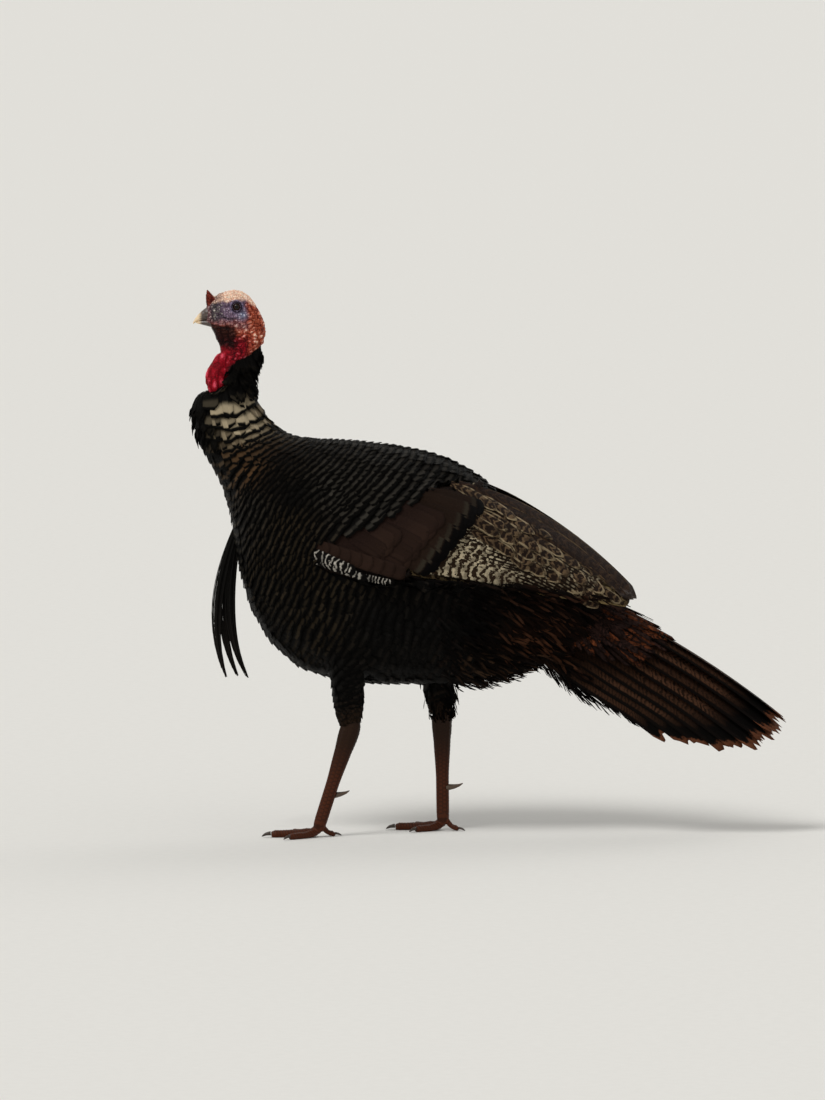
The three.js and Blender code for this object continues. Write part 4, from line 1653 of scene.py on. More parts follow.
class Skin:
    """One skin: the feathered body, thighs and wing arms, and the bare head and neck."""

    NODES = (
        "trunk", "neck_feathered", "thigh_left", "thigh_right", "wing_left_coverts", "wing_right_coverts",
    )
    # Cell sizes before and after it is sunk, and how far it sinks under the hind part of a wing.
    VOXEL, SECOND_VOXEL, SINK = 5, 5.2, 12
    # Dark brown painted shade on the skin under the wings.
    UNDER_WING = linear(25, 18, 15)

    def __init__(self, bird: Bird, plumage: Plumage) -> None:
        """Takes the bird and the plumage that lies over it."""
        self.bird, self.plumage = bird, plumage

    def build(self) -> None:
        """Builds the skin and dresses it."""
        body = self.bird.tucked(remeshed(self.bird.copy("body_skin", *self.NODES), self.VOXEL * MM, 4))
        points, normals = vertices_of(body), normals_of(body)
        _, pitch, _ = self.plumage.envelope.lie(points, normals)
        points = points - normals * (self.plumage.depth(pitch) + 0.0006)[:, None]
        place = self.bird.mm(points)
        hind = smooth(0.74 * (place[:, 1] + 128) - 0.67 * (place[:, 2] - 392), -16, 0)
        side = smooth(np.abs(place[:, 0]), 60, 80)
        points[:, 0] -= np.sign(place[:, 0]) * self.SINK * MM * hind * on_wing(place) * side
        reshape(body, points)
        remeshed(body, self.SECOND_VOXEL * MM, 1)
        points = vertices_of(body)
        _, _, tint = self.plumage.envelope.lie(points, normals_of(body))
        covered = on_wing(self.bird.mm(points))[:, None]
        # The skin is painted near black under the coat and dark brown under the wings, as the shade between
        # and beneath the feathers.
        add_values(body, "tint", np.where(covered, self.UNDER_WING, tint * 0.06))
        skin = joined("skin", [body, HeadSkin(self.bird).build()])
        shade(skin, SkinFinish().build())
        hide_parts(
            "trunk", "neck_feathered", "neck_bare", "head", "throat_caruncles", "snood",
            "ear_left", "ear_right", "thigh_left", "thigh_right")
        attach(skin, "root")
        report(skin)


# ---- hard parts ----


class Head:
    """Bill and eyes."""

    # Place, slant and depth of the nostrils.
    NOSTRIL_Y, NOSTRIL_Z, NOSTRIL_SLANT, NOSTRIL_DEPTH = -438, 809.0, 0.5, 1.6
    BILL_TIP = -445
    EYE_RADIUS = 0.0071
    CORNEA, CORNEA_REACH = 0.0005, 0.0035

    def __init__(self, bird: Bird) -> None:
        """Takes the bird."""
        self.bird = bird

    def bill(self) -> None:
        """Models both halves of the bill: smooth horn with a nostril, and the lower half's front drawn up.
        """
        halves = []
        for node in ("bill_upper", "bill_lower"):
            half = remeshed(self.bird.copy(node + "_horn", node), 0.5 * MM, 5)
            points, normals = vertices_of(half), normals_of(half)
            x, y, z = self.bird.mm(points).T
            if node == "bill_upper":
                along, up = y - self.NOSTRIL_Y, z - self.NOSTRIL_Z
                slit = np.exp(-((along / 3.0) ** 2 + ((up + self.NOSTRIL_SLANT * along) / 1.3) ** 2))
                points = points - normals * (self.NOSTRIL_DEPTH * MM * slit * (np.abs(x) > 3))[:, None]
            else:
                points[:, 2] += 2.4 * MM * smooth(-y, 420, 446)
            reshape(half, points)
            halves.append(half)
        bill = joined("bill", halves)
        tip = self.bird.at((0, self.BILL_TIP, 0))[1]
        base, pale = linear(66, 55, 50), linear(236, 208, 168)
        shade(bill, HornFinish("bill_horn", base, pale, 1, tip + 0.005, tip - 0.002).build())
        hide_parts("bill_upper", "bill_lower")
        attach(bill, "root")
        report(bill)

    def eyes(self) -> None:
        """Models each eyeball with the bulge of its cornea."""
        for name, side in SIDES.items():
            centre = self.bird.at((side * EYE_CENTRE[0], *EYE_CENTRE[1:]))
            deselect()
            bpy.ops.mesh.primitive_uv_sphere_add(
                segments=40, ring_count=24, radius=self.EYE_RADIUS, location=centre.tolist(),
                rotation=(0, math.pi / 2, 0))
            eye = settled(bpy.context.object)
            points = vertices_of(eye)
            away = points - centre
            bulge = np.exp(-((np.hypot(*away[:, 1:].T) / self.CORNEA_REACH) ** 2)) * (away[:, 0] * side > 0)
            points[:, 0] += side * self.CORNEA * bulge
            reshape(eye, points)
            eye.name = eye.data.name = f"eyeball_{name}"
            shade(eye, EyeFinish(f"eye_brown_{name}", tuple(centre)).build())
            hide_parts(f"eye_{name}")
            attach(eye, "root")
            report(eye)


@dataclass
class Leg:
    """One leg's scaly shank and toes with their claws and spur.

    Attributes:
        bird: The bird.
        side: left or right.
        foot: Where the toes meet, in millimetres.
        heel: Top of the shank.
        toes: The toes.
        columns: Columns of scutes round the shank.
        scute: Height of a scute.
        plate: Length of a plate on the toes.
    """

    bird: Bird
    side: str
    foot: tuple[float, float, float]
    heel: tuple[float, float, float]
    toes: tuple[str, ...] = ("middle", "inner", "outer", "hind")
    columns: int = 8
    scute: float = 6.2
    plate: float = 4.4

    def grooves(self, p: Array, normals: Array) -> tuple[Array, Array, Array]:
        """Finds the grooves between the scutes and between the toes' plates.

        Args:
            p: (n, 3) places in millimetres.
            normals: (n, 3) outward directions.

        Returns:
            How deep in a groove each place is, way up the shank, and way out from its axis.
        """
        axis = unit(np.subtract(self.heel, self.foot))
        out = p - self.foot
        rise = out @ axis
        away = out - rise[:, None] * axis
        turn = (np.arctan2(away[:, 0], -away[:, 1]) / (2 * np.pi) + 0.5) * self.columns
        row = rise / self.scute + 0.5 * (np.floor(turn) % 2)
        gap = np.abs(row - np.rint(row)) * self.scute
        seam = np.abs(np.modf(turn)[0] - 0.5)
        groove = np.maximum(gauss(gap, 0, 0.7), gauss((0.5 - seam) * 7, 0, 0.55))
        plate = np.linalg.norm(out, axis=1) / self.plate
        toe_groove = gauss(np.abs(plate - np.rint(plate)) * self.plate, 0, 0.6) * (normals[:, 2] > -0.2)
        on_shank = smooth(rise, 4, 14)
        return on_shank * groove + (1 - on_shank) * toe_groove, rise, away

    def scales(self, finish: Material) -> None:
        """Shapes the scutes of the shank and the plates of the toes.

        Args:
            finish: Their material.
        """
        nodes = [f"shank_{self.side}"] + [f"toe_{toe}_{self.side}" for toe in self.toes]
        leg = remeshed(self.bird.copy(f"leg_{self.side}", *nodes), 1.1 * MM, 3)
        points, normals = vertices_of(leg), normals_of(leg)
        p = self.bird.mm(points)
        cut, rise, away = self.grooves(p, normals)
        lift = (0.45 * (1 - cut) - 0.35) * smooth(p[:, 2], 0.6, 2.0)
        flare = 0.28 * smooth(rise, 60, 130)
        reshape(leg, points + (normals * lift[:, None] + away * flare[:, None]) * MM)
        add_values(leg, "relief", 1 - cut)
        shade(leg, finish)
        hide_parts(*nodes)
        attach(leg, "root")
        report(leg)

    def horn(self, finish: Material) -> None:
        """Shapes the claws and the spur.

        Args:
            finish: Their material.
        """
        nodes = [f"claw_{toe}_{self.side}" for toe in self.toes] + [f"spur_{self.side}"]
        horn = remeshed(self.bird.copy(f"claws_{self.side}", *nodes), 0.45 * MM, 3)
        shade(horn, finish)
        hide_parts(*nodes)
        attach(horn, "root")
        report(horn)


# ---- wings ----


@dataclass(frozen=True)
class Quill:
    """One long feather seen from the side, in millimetres.

    Attributes:
        root: Along the body and up.
        tip: Along the body and up.
        width: Width of the vane.
        layer: How high it lies over its neighbours.
        bow: How far its middle bends upwards.
    """

    root: tuple[float, float]
    tip: tuple[float, float]
    width: float
    layer: float
    bow: float = 0.0


class WingFace:
    """Smooth outer face of the folded wing, as a height over the side view."""

    def __init__(self, bird: Bird) -> None:
        """Fits the face to the left wing's solids.

        Args:
            bird: The bird.
        """
        cloud = []
        for node in ("wing_left_coverts", "wing_left_secondaries", "wing_left_primaries"):
            obj = bird.copy("wing_probe", node)
            points, normals = bird.mm(vertices_of(obj)), normals_of(obj)
            cloud.append(points[normals[:, 0] > 0.35])
            bpy.data.objects.remove(obj)
        cloud = np.concatenate(cloud)
        self.fit, *_ = np.linalg.lstsq(self.terms(cloud[:, 1], cloud[:, 2]), cloud[:, 0], rcond=None)

    @staticmethod
    def terms(y: Array, z: Array) -> Array:
        """Polynomial terms of a place on the side view."""
        a, b = y / 250, (z - 450) / 100
        return np.stack([a**i * b**j for i in range(5) for j in range(4) if i + j <= 4], -1)

    def height(self, y: Array, z: Array) -> Array:
        """Distance of the face from the bird's middle plane."""
        return self.terms(y, z) @ self.fit


class Wings:
    """The long feathers of both folded wings."""

    # Points on each centreline.
    STEPS = 14
    # How far roots dip, height of layer 0 over the face, and height of a layer.
    DIP, SINK, RISE = 4.5, -6.0, 0.6
    WAY = (0.86, -0.5)
    # Upper outline of the coverts.
    TOP = ((-290, -258, -201, -139, -77, -15), (470, 489, 515, 539, 559, 566))
    # Lower end of the line on which the coverts' tips lie, and the way along it.
    COVERT_TIP, COVERT_LINE = (-92, 416), (100, 124)
    # Number of short coverts along the front edge.
    FRONT = 8
    # Of each row of median coverts its number, its way forward and its count.
    MEDIAN_ROWS = ((1, 36, 15), (2, 72, 16), (3, 110, 16), (4, 150, 15))
    # First tip and count of each line of tertials.
    TERTIAL_LINES = (((38, 439), 5), ((25, 454), 6), ((16, 472), 7), ((12, 491), 8), ((18, 509), 7))
    LONG_TERTIALS = (
        Quill((-52, 538), (206, 382), 20, 7.4, bow=13),
        Quill((-50, 543), (224, 367), 26, 8.4, bow=19),
        Quill((-46, 552), (229, 368), 22, 9.4, bow=25),
    )
    ALULA = (
        Quill((-288, 441), (-188, 408), 13, 14.0),
        Quill((-286, 453), (-206, 419), 17, 15.0),
        Quill((-203, 412), (-146, 400), 12, 13.0),
    )
    FLIGHT = VaneForm(
        columns=7, lines=22, stem=0.5, fullest=0.3, power=2.2, camber=0.03, thickness=0.0006, flick=0.0,
        ragged=0.05)
    POINTED = replace(FLIGHT, roundness=1.5, power=1.5, ragged=0.1)
    COVERT = replace(
        FLIGHT, lines=12, fullest=0.4, roundness=0.42, power=3.0, thickness=0.0005, ragged=0.04)
    LEAF = replace(COVERT, roundness=0.5, power=2.4, camber=0.015, thickness=0.0003, ragged=0.2)
    TERTIAL = replace(COVERT, roundness=1.5, power=1.7, camber=0.04, flick=0.0003, ragged=0.15)
    SMALL = VaneForm(lines=12, stem=0.6, fullest=0.3, roundness=0.5, camber=0.05, flick=0.0, ragged=0.1)
    PALE, BROWN = linear(60, 42, 28), linear(66, 46, 28)
    # Past the tip, for barred feathers without a lit band.
    UNLIT = (1.2, 1.3, 1.4, 1.5)

    def __init__(self, bird: Bird, coat: Coat) -> None:
        """Takes the bird and the coat."""
        self.bird, self.coat = bird, coat
        self.face = WingFace(bird)

    def coverts(self, rows: Sequence[tuple[int, int, int]]) -> list[Quill]:
        """Places broad coverts, whose tips end in steps along a slant.

        Args:
            rows: For each row its number, its way forward from the hindmost tips and its count.

        Returns:
            The feathers.
        """
        quills = []
        for k in range(self.FRONT if rows[0][0] else 0):
            quills.append(Quill((-298 + 15 * k, 466 - 4 * k), (-246 + 17 * k, 449 - 5 * k), 24, 9.0))
        for row, shift, count in rows:
            for k in range(count):
                t = (0.9 + 0.12 * row) * (k + 0.5) / count - 0.12 * row
                way = np.array((0.86 + 0.1 * t, -0.5 + 0.24 * t))
                line = np.array(self.COVERT_TIP) + np.array(self.COVERT_LINE) * t
                tip = line - way * (shift - 5 * (k % 2))
                root = tip - way * (92 - 6 * row)
                if root[1] < np.interp(root[0], *self.TOP) - 4:
                    quills.append(Quill(tuple(root), tuple(tip), 29, 7.0 + 0.3 * row + 0.1 * k))
        return quills

    def secondaries(self) -> list[Quill]:
        """Places the barred flight feathers behind the coverts, the lowest outermost.

        Returns:
            The feathers.
        """
        quills = []
        for k in range(15):
            t = k / 14
            root = np.array((-100 + 108 * t, 413 + 115 * t)) - np.array(self.WAY) * 40
            quills.append(Quill(tuple(root), (72 + 104 * t, 396 - 4 * t), 32, 2.0 + 0.17 * k, bow=4))
        return quills

    def tertials(self) -> list[Quill]:
        """Places the brown inner feathers, whose tips lie like uneven scales.

        Returns:
            The feathers.
        """
        quills, random = [], np.random.default_rng(5)
        for line, (start, count) in enumerate(self.TERTIAL_LINES):
            for k in range(count):
                way = np.array((0.81, -0.55)) * 32 * (k + 0.5 * (line % 2))
                tip = np.array(start) + way + random.uniform(-6, 6, 2)
                shaft = np.array((0.84 + random.uniform(-0.06, 0.06), -0.54)) * 90
                root = tip - shaft + random.uniform(-6, 6, 2)
                layer = 3.2 + 0.6 * line + 0.18 * (count - k)
                quills.append(Quill(tuple(root), tuple(tip), 19 + random.uniform(-4, 4), layer, bow=3))
        return quills

    def primaries(self) -> list[Quill]:
        """Tips of the outermost flight feathers along the lower edge."""
        return [
            Quill((-154 + 14 * k, 426 + 2 * k), (130 + 22 * k, 384 - 4.2 * k), 27, -1.0 + 0.35 * k, bow=3)
            for k in range(5)
        ]

    def lay(self, quills: Sequence[Quill], side: float) -> Lay:
        """Lays feathers on the wing's face.

        Args:
            quills: The feathers.
            side: 1 for the left wing, -1 for the right.

        Returns:
            Their centrelines.
        """
        t = np.linspace(0, 1, self.STEPS)[None]
        root, tip = np.array([q.root for q in quills]), np.array([q.tip for q in quills])
        bow = np.array([q.bow for q in quills])[:, None] * 4 * t * (1 - t)
        way = unit(tip - root)
        y = root[:, :1] * (1 - t) + tip[:, :1] * t - way[:, 1:] * bow
        z = root[:, 1:] * (1 - t) + tip[:, 1:] * t + way[:, :1] * bow
        layer = np.array([q.layer for q in quills])[:, None]
        x = self.face.height(y, z) + self.SINK + layer * self.RISE - self.DIP * (1 - t) ** 1.5
        points = self.bird.at(np.stack([side * x, y, z], -1))
        slope_y = self.face.height(y + 1, z) - self.face.height(y - 1, z)
        slope_z = self.face.height(y, z + 1) - self.face.height(y, z - 1)
        normals = unit(np.stack([np.full_like(y, 2.0), -slope_y, -slope_z], -1) * (side, 1, 1))
        length = np.linalg.norm(tip - root, axis=1) * MM
        width = np.array([q.width for q in quills]) * MM
        flows = unit(np.gradient(points, axis=1))
        return Lay(points, normals, flows, length, width, np.full(len(quills), 0.001))

    def groups(self) -> tuple[tuple[str, Sequence[Quill], VaneForm, str, VaneFinish], ...]:
        """The groups of long feathers.

        Returns:
            For each its name, its feathers, their form, their slot and their finish.
        """
        covert, barred = "wing_covert_feathers", "barred_flight_feathers"
        return (
            ("greater_coverts", self.coverts(((0, 0, 13),)), self.COVERT, covert, VaneFinish(
                "greater_coverts", linear(31, 21, 15), lit=linear(56, 50, 41), band=(0.76, 0.84, 0.86, 0.9),
                dark=linear(8, 6, 6), dark_from=0.89, mottle=1.3, barbs=70, barb_depth=0.0004)),
            ("median_coverts", self.coverts(self.MEDIAN_ROWS), self.LEAF, covert, VaneFinish(
                "median_coverts", linear(32, 21, 17), lit=linear(52, 37, 30), band=(0.45, 0.8, 1.1, 1.2),
                mottle=1.3, uneven=0.6, barbs=70, barb_depth=0.0003)),
            ("secondaries", self.secondaries(), self.FLIGHT, barred, VaneFinish(
                "secondaries", linear(38, 27, 18), lit=self.PALE, band=self.UNLIT, bars=16,
                bar_colour=linear(208, 193, 161), bar_slant=0.75, bar_end=0.45, bar_duty=0.47,
                margin=linear(30, 21, 14), margin_from=0.86, mottle=0.9, barbs=90)),
            ("tertials", self.tertials(), self.TERTIAL, barred, VaneFinish(
                "tertials", linear(27, 18, 13), lit=self.BROWN, band=self.UNLIT, bars=7,
                bar_colour=linear(104, 84, 62), bar_duty=0.42, margin=linear(156, 138, 108),
                margin_from=0.76, margin_break=0.92, tip=linear(156, 138, 108), mottle=1.0, uneven=0.9,
                barbs=50)),
            ("long_tertials", self.LONG_TERTIALS, self.POINTED, barred, VaneFinish(
                "long_tertials", linear(30, 20, 16), lit=self.BROWN, band=self.UNLIT, bars=22,
                bar_colour=linear(62, 45, 33), bar_duty=0.42, margin=linear(104, 84, 60), margin_from=0.88,
                margin_break=0.8, tip=linear(96, 88, 84), tip_from=0.98, mottle=0.8, barbs=90)),
            ("primaries", self.primaries(), self.FLIGHT, barred, VaneFinish(
                "primaries", linear(38, 27, 18), lit=self.PALE, band=self.UNLIT, bars=18,
                bar_colour=linear(124, 106, 76), bar_duty=0.4, margin=linear(150, 128, 88),
                margin_from=0.86, margin_break=0.5, mottle=0.7, barbs=90)),
            ("alula", self.ALULA, self.SMALL, covert, VaneFinish(
                "alula", linear(13, 11, 10), lit=self.PALE, band=self.UNLIT, bars=10,
                bar_colour=linear(196, 190, 178), bar_slant=0.35, bar_duty=0.33, bar_edge=0.2,
                tip=linear(13, 11, 10), tip_from=0.93, mottle=0.4, barbs=40)),
        )

    def build(self) -> None:
        """Builds every group of long feathers on both sides."""
        for name, quills, form, slot, finish in self.groups():
            material = finish.build()
            for side, sign in SIDES.items():
                lay = self.lay(quills, sign)
                piece = self.coat.build(f"{name}_{side}", lay, form, material, slot, atlas=True)
                if name == "greater_coverts":
                    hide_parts(f"wing_{side}_coverts")
                if name == "secondaries":
                    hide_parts(f"wing_{side}_secondaries")
                if name == "primaries":
                    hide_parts(f"wing_{side}_primaries")


# ---- tail ----


class Tail:
    """Eighteen tail feathers folded into a roof, and the coverts over their roots."""

    RIDGE = ((128, 383), (186, 360), (256, 322), (326, 275), (392, 224), (438, 188), (461, 170))
    EDGE = (
        (30, 128, 318), (46, 166, 262), (56, 216, 204), (62, 266, 168), (64, 322, 152), (60, 380, 144),
        (50, 424, 141),
    )
    STEPS = 16
    # Tip and root of each feather of one side, from the ridge outwards, as away from the middle
    # plane, along the body and up.
    FAN = (
        ((5, 464, 172), (4, 128, 376)), ((15, 457, 160), (9, 118, 364)), ((25, 445, 150), (14, 110, 352)),
        ((34, 427, 143), (19, 104, 340)), ((42, 404, 141), (24, 98, 328)), ((48, 379, 144), (29, 92, 316)),
        ((53, 351, 149), (33, 86, 304)), ((57, 322, 153), (37, 80, 292)), ((60, 291, 156), (40, 76, 280)),
    )
    # Of each line of coverts how far down the tail it ends, its count and its height.
    COVERTS = (
        (0.04, 40, 11.5), (0.07, 42, 11.3), (0.1, 44, 11.1), (0.13, 44, 10.8), (0.16, 44, 10.5),
        (0.19, 42, 10.2), (0.22, 40, 9.6), (0.25, 36, 9.0), (0.28, 32, 8.2), (0.31, 28, 7.4),
        (0.34, 24, 6.4), (0.37, 20, 5.4),
    )
    RUST, UMBER = linear(112, 60, 34), linear(58, 39, 34)

    def __init__(self, bird: Bird, coat: Coat) -> None:
        """Takes the bird and the coat."""
        self.bird, self.coat = bird, coat

    def roof(self, along: Array, across: Array, lift: Array) -> tuple[Array, Array]:
        """Places points on the tail's roof.

        Args:
            along: 0 at the root to 1 at the tips.
            across: -1 at the right edge, 0 on the ridge, 1 at the left edge.
            lift: Height over the roof, in millimetres.

        Returns:
            Points in metres and outward normals.
        """
        base = self.on_roof(along, across)
        down = self.on_roof(along + 0.01, across) - self.on_roof(along - 0.01, across)
        out = self.on_roof(along, across + 0.02) - self.on_roof(along, across - 0.02)
        normal = unit(np.cross(out, down) * -1)
        normal *= np.where(normal[..., 2:] < 0, -1.0, 1.0)
        return self.bird.at(base + normal * lift[..., None]), normal

    def on_roof(self, t: Array, s: Array) -> Array:
        """Places points on the roof itself.

        Args:
            t: 0 at the root to 1 at the tips.
            s: -1 at the right edge to 1 at the left edge.

        Returns:
            Points in millimetres.
        """
        ridge = np.stack([np.zeros_like(t), *(self.track(t, column) for column in zip(*self.RIDGE))], -1)
        edge = np.stack([self.track(t, column) for column in zip(*self.EDGE)], -1)
        height = 0.78 * ridge[..., 2] + 0.22 * edge[..., 2]
        bend = np.stack([0.72 * edge[..., 0], (ridge[..., 1] + edge[..., 1]) / 2, height], -1)
        a = np.abs(s)[..., None]
        point = (1 - a) ** 2 * ridge + 2 * a * (1 - a) * bend + a * a * edge
        return point * np.stack([np.where(s < 0, -1.0, 1.0), np.ones_like(s), np.ones_like(s)], -1)

    @staticmethod
    def track(t: Array, values: Sequence[float]) -> Array:
        """Smooth value along a row of even knots, run on straight past its ends.

        Args:
            t: 0 at the first knot to 1 at the last.
            values: Value at each knot.

        Returns:
            Values at t.
        """
        fit = np.polyfit(np.linspace(0, 1, len(values)), values, 4)
        end = np.clip(t, 0, 1)
        return np.polyval(fit, end) + (t - end) * np.polyval(np.polyder(fit), end)

    def on_lines(self, rows: Sequence[tuple]) -> Lay:
        """Lays feathers on the roof.

        Args:
            rows: For each feather, across at its shaft, half its width, along at its root and tip, and
                its height over the roof at root and tip.

        Returns:
            Their centrelines.
        """
        table = np.array(rows)
        t = np.linspace(0, 1, self.STEPS)[None]
        along = table[:, 2:3] * (1 - t) + table[:, 3:4] * t
        across = np.broadcast_to(table[:, :1], along.shape)
        lift = table[:, 4:5] * (1 - t) + table[:, 5:6] * t
        return Lay.along(*self.roof(along, across, lift), table[:, 1] * 2 * MM)

    def fan(self) -> Lay:
        """Lays the long tail feathers as straight shafts, each lower one under the one above.

        Returns:
            Their centrelines.
        """
        t = np.linspace(0, 1, self.STEPS)[:, None]
        points, normals, widths = [], [], []
        for sign in SIDES.values():
            for k, (tip, root) in enumerate(self.FAN):
                turn = math.radians(16 + 8.0 * k)
                up = np.array((math.sin(turn), 0.25, math.cos(turn)))
                bow = np.array((0, 8, 62 - 1.5 * k)) * t * (1 - t)
                line = np.array(root) * (1 - t) + np.array(tip) * t - up * 1.4 * k + bow
                points.append(self.bird.at(line * (sign, 1, 1)))
                normals.append(np.broadcast_to(up * (sign, 1, 1), line.shape))
                widths.append(46 - 0.8 * k)
        lay = Lay.along(np.array(points), np.array(normals), np.array(widths) * MM)
        lay.normals = unit(lay.normals - lay.flows * (lay.flows * lay.normals).sum(2, keepdims=True))
        return lay

    def build(self) -> None:
        """Builds the tail feathers and the upper coverts."""
        form = VaneForm(
            columns=11, lines=26, stem=0.3, fullest=0.5, roundness=0.5, power=2.0, camber=0.075,
            thickness=0.0006, flick=0.0, ragged=0.95)
        finish = VaneFinish(
            "tail_feathers", linear(32, 20, 13), band=(0.25, 0.5, 0.72, 0.84), bars=46,
            bar_colour=linear(34, 22, 15), bar_duty=0.45, bar_slant=1.6, dark=linear(9, 7, 6),
            dark_from=0.86, margin=linear(15, 11, 9), margin_from=0.78, tip=linear(102, 62, 42),
            tip_from=0.98, mottle=1.0, uneven=0.5, barbs=120)
        light = [1.15 + 0.3 * math.sin(2.4 * k) - 0.04 * k for k in range(len(self.FAN))] * 2
        brown = np.outer(light, linear(72, 48, 34))
        tail = self.coat.build(
            "tail_feathers", self.fan(), form, finish.build(), "tail_feathers", brown, atlas=True)
        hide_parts("tail_centre", "tail_left", "tail_right")
        self.coverts()

    def coverts(self) -> None:
        """Builds the coverts over the tail's root."""
        rows, lit, random = [], [], self.coat.random
        for line, (end, count, high) in enumerate(self.COVERTS):
            spread = 1.36 - 0.075 * line
            for k in range(count):
                place = spread * (2 * (k + 0.5) / count - 1) + random.uniform(-0.04, 0.04)
                reach = end + 0.02 - 0.08 * place * place + random.uniform(-0.035, 0.035)
                half = random.uniform(2.2, 3.6)
                top = high - 1.5 * abs(place) + random.uniform(0, 1.2)
                rows.append((place, half, reach - 0.2, reach, high - 6.5, top))
                shown = self.RUST if random.random() < 0.03 + 0.05 * line else self.UMBER
                lit.append(np.array(shown) * random.uniform(0.35, 1.05))
        form = VaneForm(
            lines=10, stem=0.6, fullest=0.35, roundness=1.8, power=1.3, camber=0.05, flick=0.001,
            ragged=2.2)
        finish = VaneFinish(
            "tail_coverts", linear(13, 9, 8), band=(0.4, 0.7, 1.0, 1.06), bars=9,
            bar_colour=linear(22, 14, 12), bar_duty=0.45, mottle=0.8, barbs=50)
        cover = self.coat.build(
            "upper_tail_coverts", self.on_lines(rows), form, finish.build(), "tail_covert_feathers",
            np.array(lit), atlas=True)
        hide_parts("tail_coverts_upper_left", "tail_coverts_upper_right")


# ---- beard ----


@dataclass
class Beard:
    """Bundle of long bristles on the breast, parted into three points along the lines of locks."""

    bird: Bird
    coat: Coat
    strands: int = 260
    steps: int = 12
    locks: tuple = (
        ((1, -390, 482), (2, -403, 446), (4, -415, 398), (6, -423, 352), (7, -420, 300), (6, -408, 244)),
        ((0, -388, 482), (0, -400, 440), (-1, -411, 392), (-2, -413, 344), (-2, -405, 292), (-2, -390, 245)),
        ((0, -385, 480), (-1, -394, 436), (0, -401, 386), (2, -401, 338), (3, -392, 290), (3, -374, 243)),
    )

    def build(self) -> None:
        """Builds the bristles."""
        random = self.coat.random
        t = np.linspace(0, 1, self.steps)
        fan = (1.6 + 2.2 * np.sin(np.pi * np.clip(t * 0.8, 0, 1)))[:, None] * (1 - 0.75 * t[:, None] ** 3)
        knots = np.linspace(0, 1, len(self.locks[0]))
        middles = [
            np.stack([np.polyval(np.polyfit(knots, a, 3), t) for a in zip(*lock)], 1) for lock in self.locks
        ]
        lines, widths = [], []
        for k in range(self.strands):
            line = middles[k % len(middles)].copy()
            line[:, :2] += np.clip(random.normal(0, 1, 2), -1.7, 1.7) * fan * (0.9, 1.35)
            end = random.uniform(0.86, 1.0)
            lines.append(np.stack([np.interp(t * end, t, a) for a in line.T], 1))
            widths.append(random.uniform(0.7, 1.1))
        points = self.bird.at(np.array(lines))
        lay = Lay.along(points, np.zeros_like(points), np.array(widths) * MM)
        lay.normals = unit(np.cross(lay.flows, (0, 1, 0)) + np.array((0.01, 0, 0)))
        form = VaneForm(
            columns=2, lines=12, stem=0.9, fullest=0.2, roundness=0.0, camber=0.0, thickness=0.003,
            flick=0.0, ragged=0.0)
        finish = BristleFinish().build()
        beard = self.coat.build("beard_bristles", lay, form, finish, "beard_bristle", atlas=True)
        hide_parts("beard")


# ---- studio ----


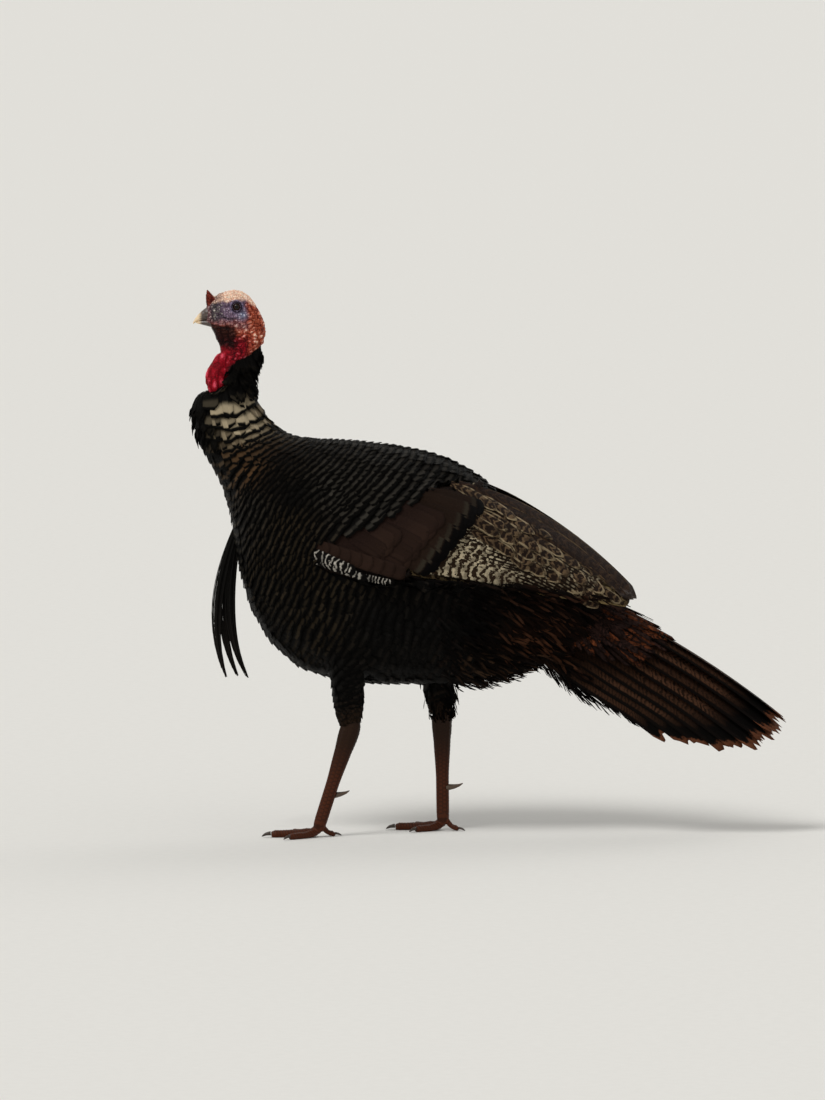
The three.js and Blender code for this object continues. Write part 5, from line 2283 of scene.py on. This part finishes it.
@dataclass
class Studio:
    """Pale floor, soft lights and the camera at the bird's left side."""

    target: tuple[float, float, float] = (0.0, -0.119, 0.442)
    elevation: float = 4.5
    distance: float = 14.0
    lens: float = 295.6
    # Name, azimuth, height, power and apparent width of each lamp.
    lamps: tuple = (("key", -42, 52, 1.5, 22), ("rim", 140, 40, 0.35, 40))
    sky: float = 0.5

    def floor(self) -> None:
        """Lays the floor."""
        deselect()
        bpy.ops.mesh.primitive_circle_add(vertices=96, radius=160, fill_type="NGON")
        floor = bpy.context.object
        floor.name = "floor"
        g = Graph("floor_paint", 0.9, 0.2)
        g.colour(g.mix(g.noise(60.0, 2.0), linear(227, 225, 219), linear(232, 230, 224)))
        floor.data.materials.append(g.material)

    def placed(self, name: str, data: object, turn: float, rise: float, distance: float) -> Obj:
        """Sets a lamp or a camera up round the target, looking at it.

        Args:
            name: Its name.
            data: The lamp or camera.
            turn: Azimuth from +X towards +Y, in degrees.
            rise: Height in degrees.
            distance: Distance in metres.

        Returns:
            The object.
        """
        obj = linked(name, data)
        a, b = math.radians(turn), math.radians(rise)
        away = Vector((math.cos(a) * math.cos(b), math.sin(a) * math.cos(b), math.sin(b)))
        obj.location = Vector(self.target) + away * distance
        obj.rotation_euler = (-away).to_track_quat("-Z", "Y").to_euler()
        return obj

    def world(self) -> bpy.types.World:
        """Lights all round, and shows a pale background to the camera, in gloss and through glass.

        Returns:
            The world.
        """
        world = bpy.data.worlds.new("studio")
        world.use_nodes = True
        g = Nodes(world.node_tree)
        light = g.tree.nodes["Background"]
        g.put(light.inputs["Color"], (1.0, 1.0, 1.0))
        g.put(light.inputs["Strength"], self.sky)
        path = g.add("LightPath")
        rays = path["Is Camera Ray"]
        for kind in ("Is Glossy Ray", "Is Transmission Ray"):
            rays = g.math("ADD", rays, path[kind], clamp=True)
        shown = g.add("Background", {"Color": linear(224, 222, 217)})[0]
        blend = g.add("MixShader", (rays, light.outputs[0], shown))[0]
        g.put(g.tree.nodes["World Output"].inputs["Surface"], blend)
        return world

    def build(self) -> None:
        """Builds all of it."""
        scene = bpy.context.scene
        scene.view_settings.view_transform = "Standard"
        self.floor()
        for name, turn, rise, strength, angle in self.lamps:
            lamp = bpy.data.lights.new(name, "SUN")
            lamp.energy, lamp.angle = strength, math.radians(angle)
            self.placed(name, lamp, turn, rise, 0.0)
        scene.world = self.world()
        data = bpy.data.cameras.new("camera")
        data.lens, data.sensor_width, data.clip_end = self.lens, 36.0, 400.0
        scene.camera = self.placed("camera", data, 0, self.elevation, self.distance)


def main() -> None:
    """Builds the bird and its studio."""
    logging.basicConfig(level=logging.INFO, format="%(message)s", stream=sys.stdout)
    bird = Bird.load()
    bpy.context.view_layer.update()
    coat = Coat(bird)
    plumage = Plumage(bird, coat)
    plumage.lay()
    Skin(bird, plumage).build()
    bpy.data.objects.remove(plumage.envelope.obj)
    head = Head(bird)
    head.bill()
    head.eyes()
    scales = LegFinish().build()
    horn = HornFinish("claw_horn", linear(40, 29, 21), linear(78, 60, 44), 2, 0.0, 0.05).build()
    left = Leg(bird, "left", (50, -263, 17), (51, -215, 175))
    right = Leg(bird, "right", (-50, -71, 17), (-51, -73, 180))
    for leg in (left, right):
        leg.scales(scales)
        leg.horn(horn)
    Wings(bird, coat).build()
    Tail(bird, coat).build()
    Beard(bird, coat).build()
    Studio().build()
    LOG.info("coat: %d triangles", coat.faces)


if __name__ == "__main__":
    main()
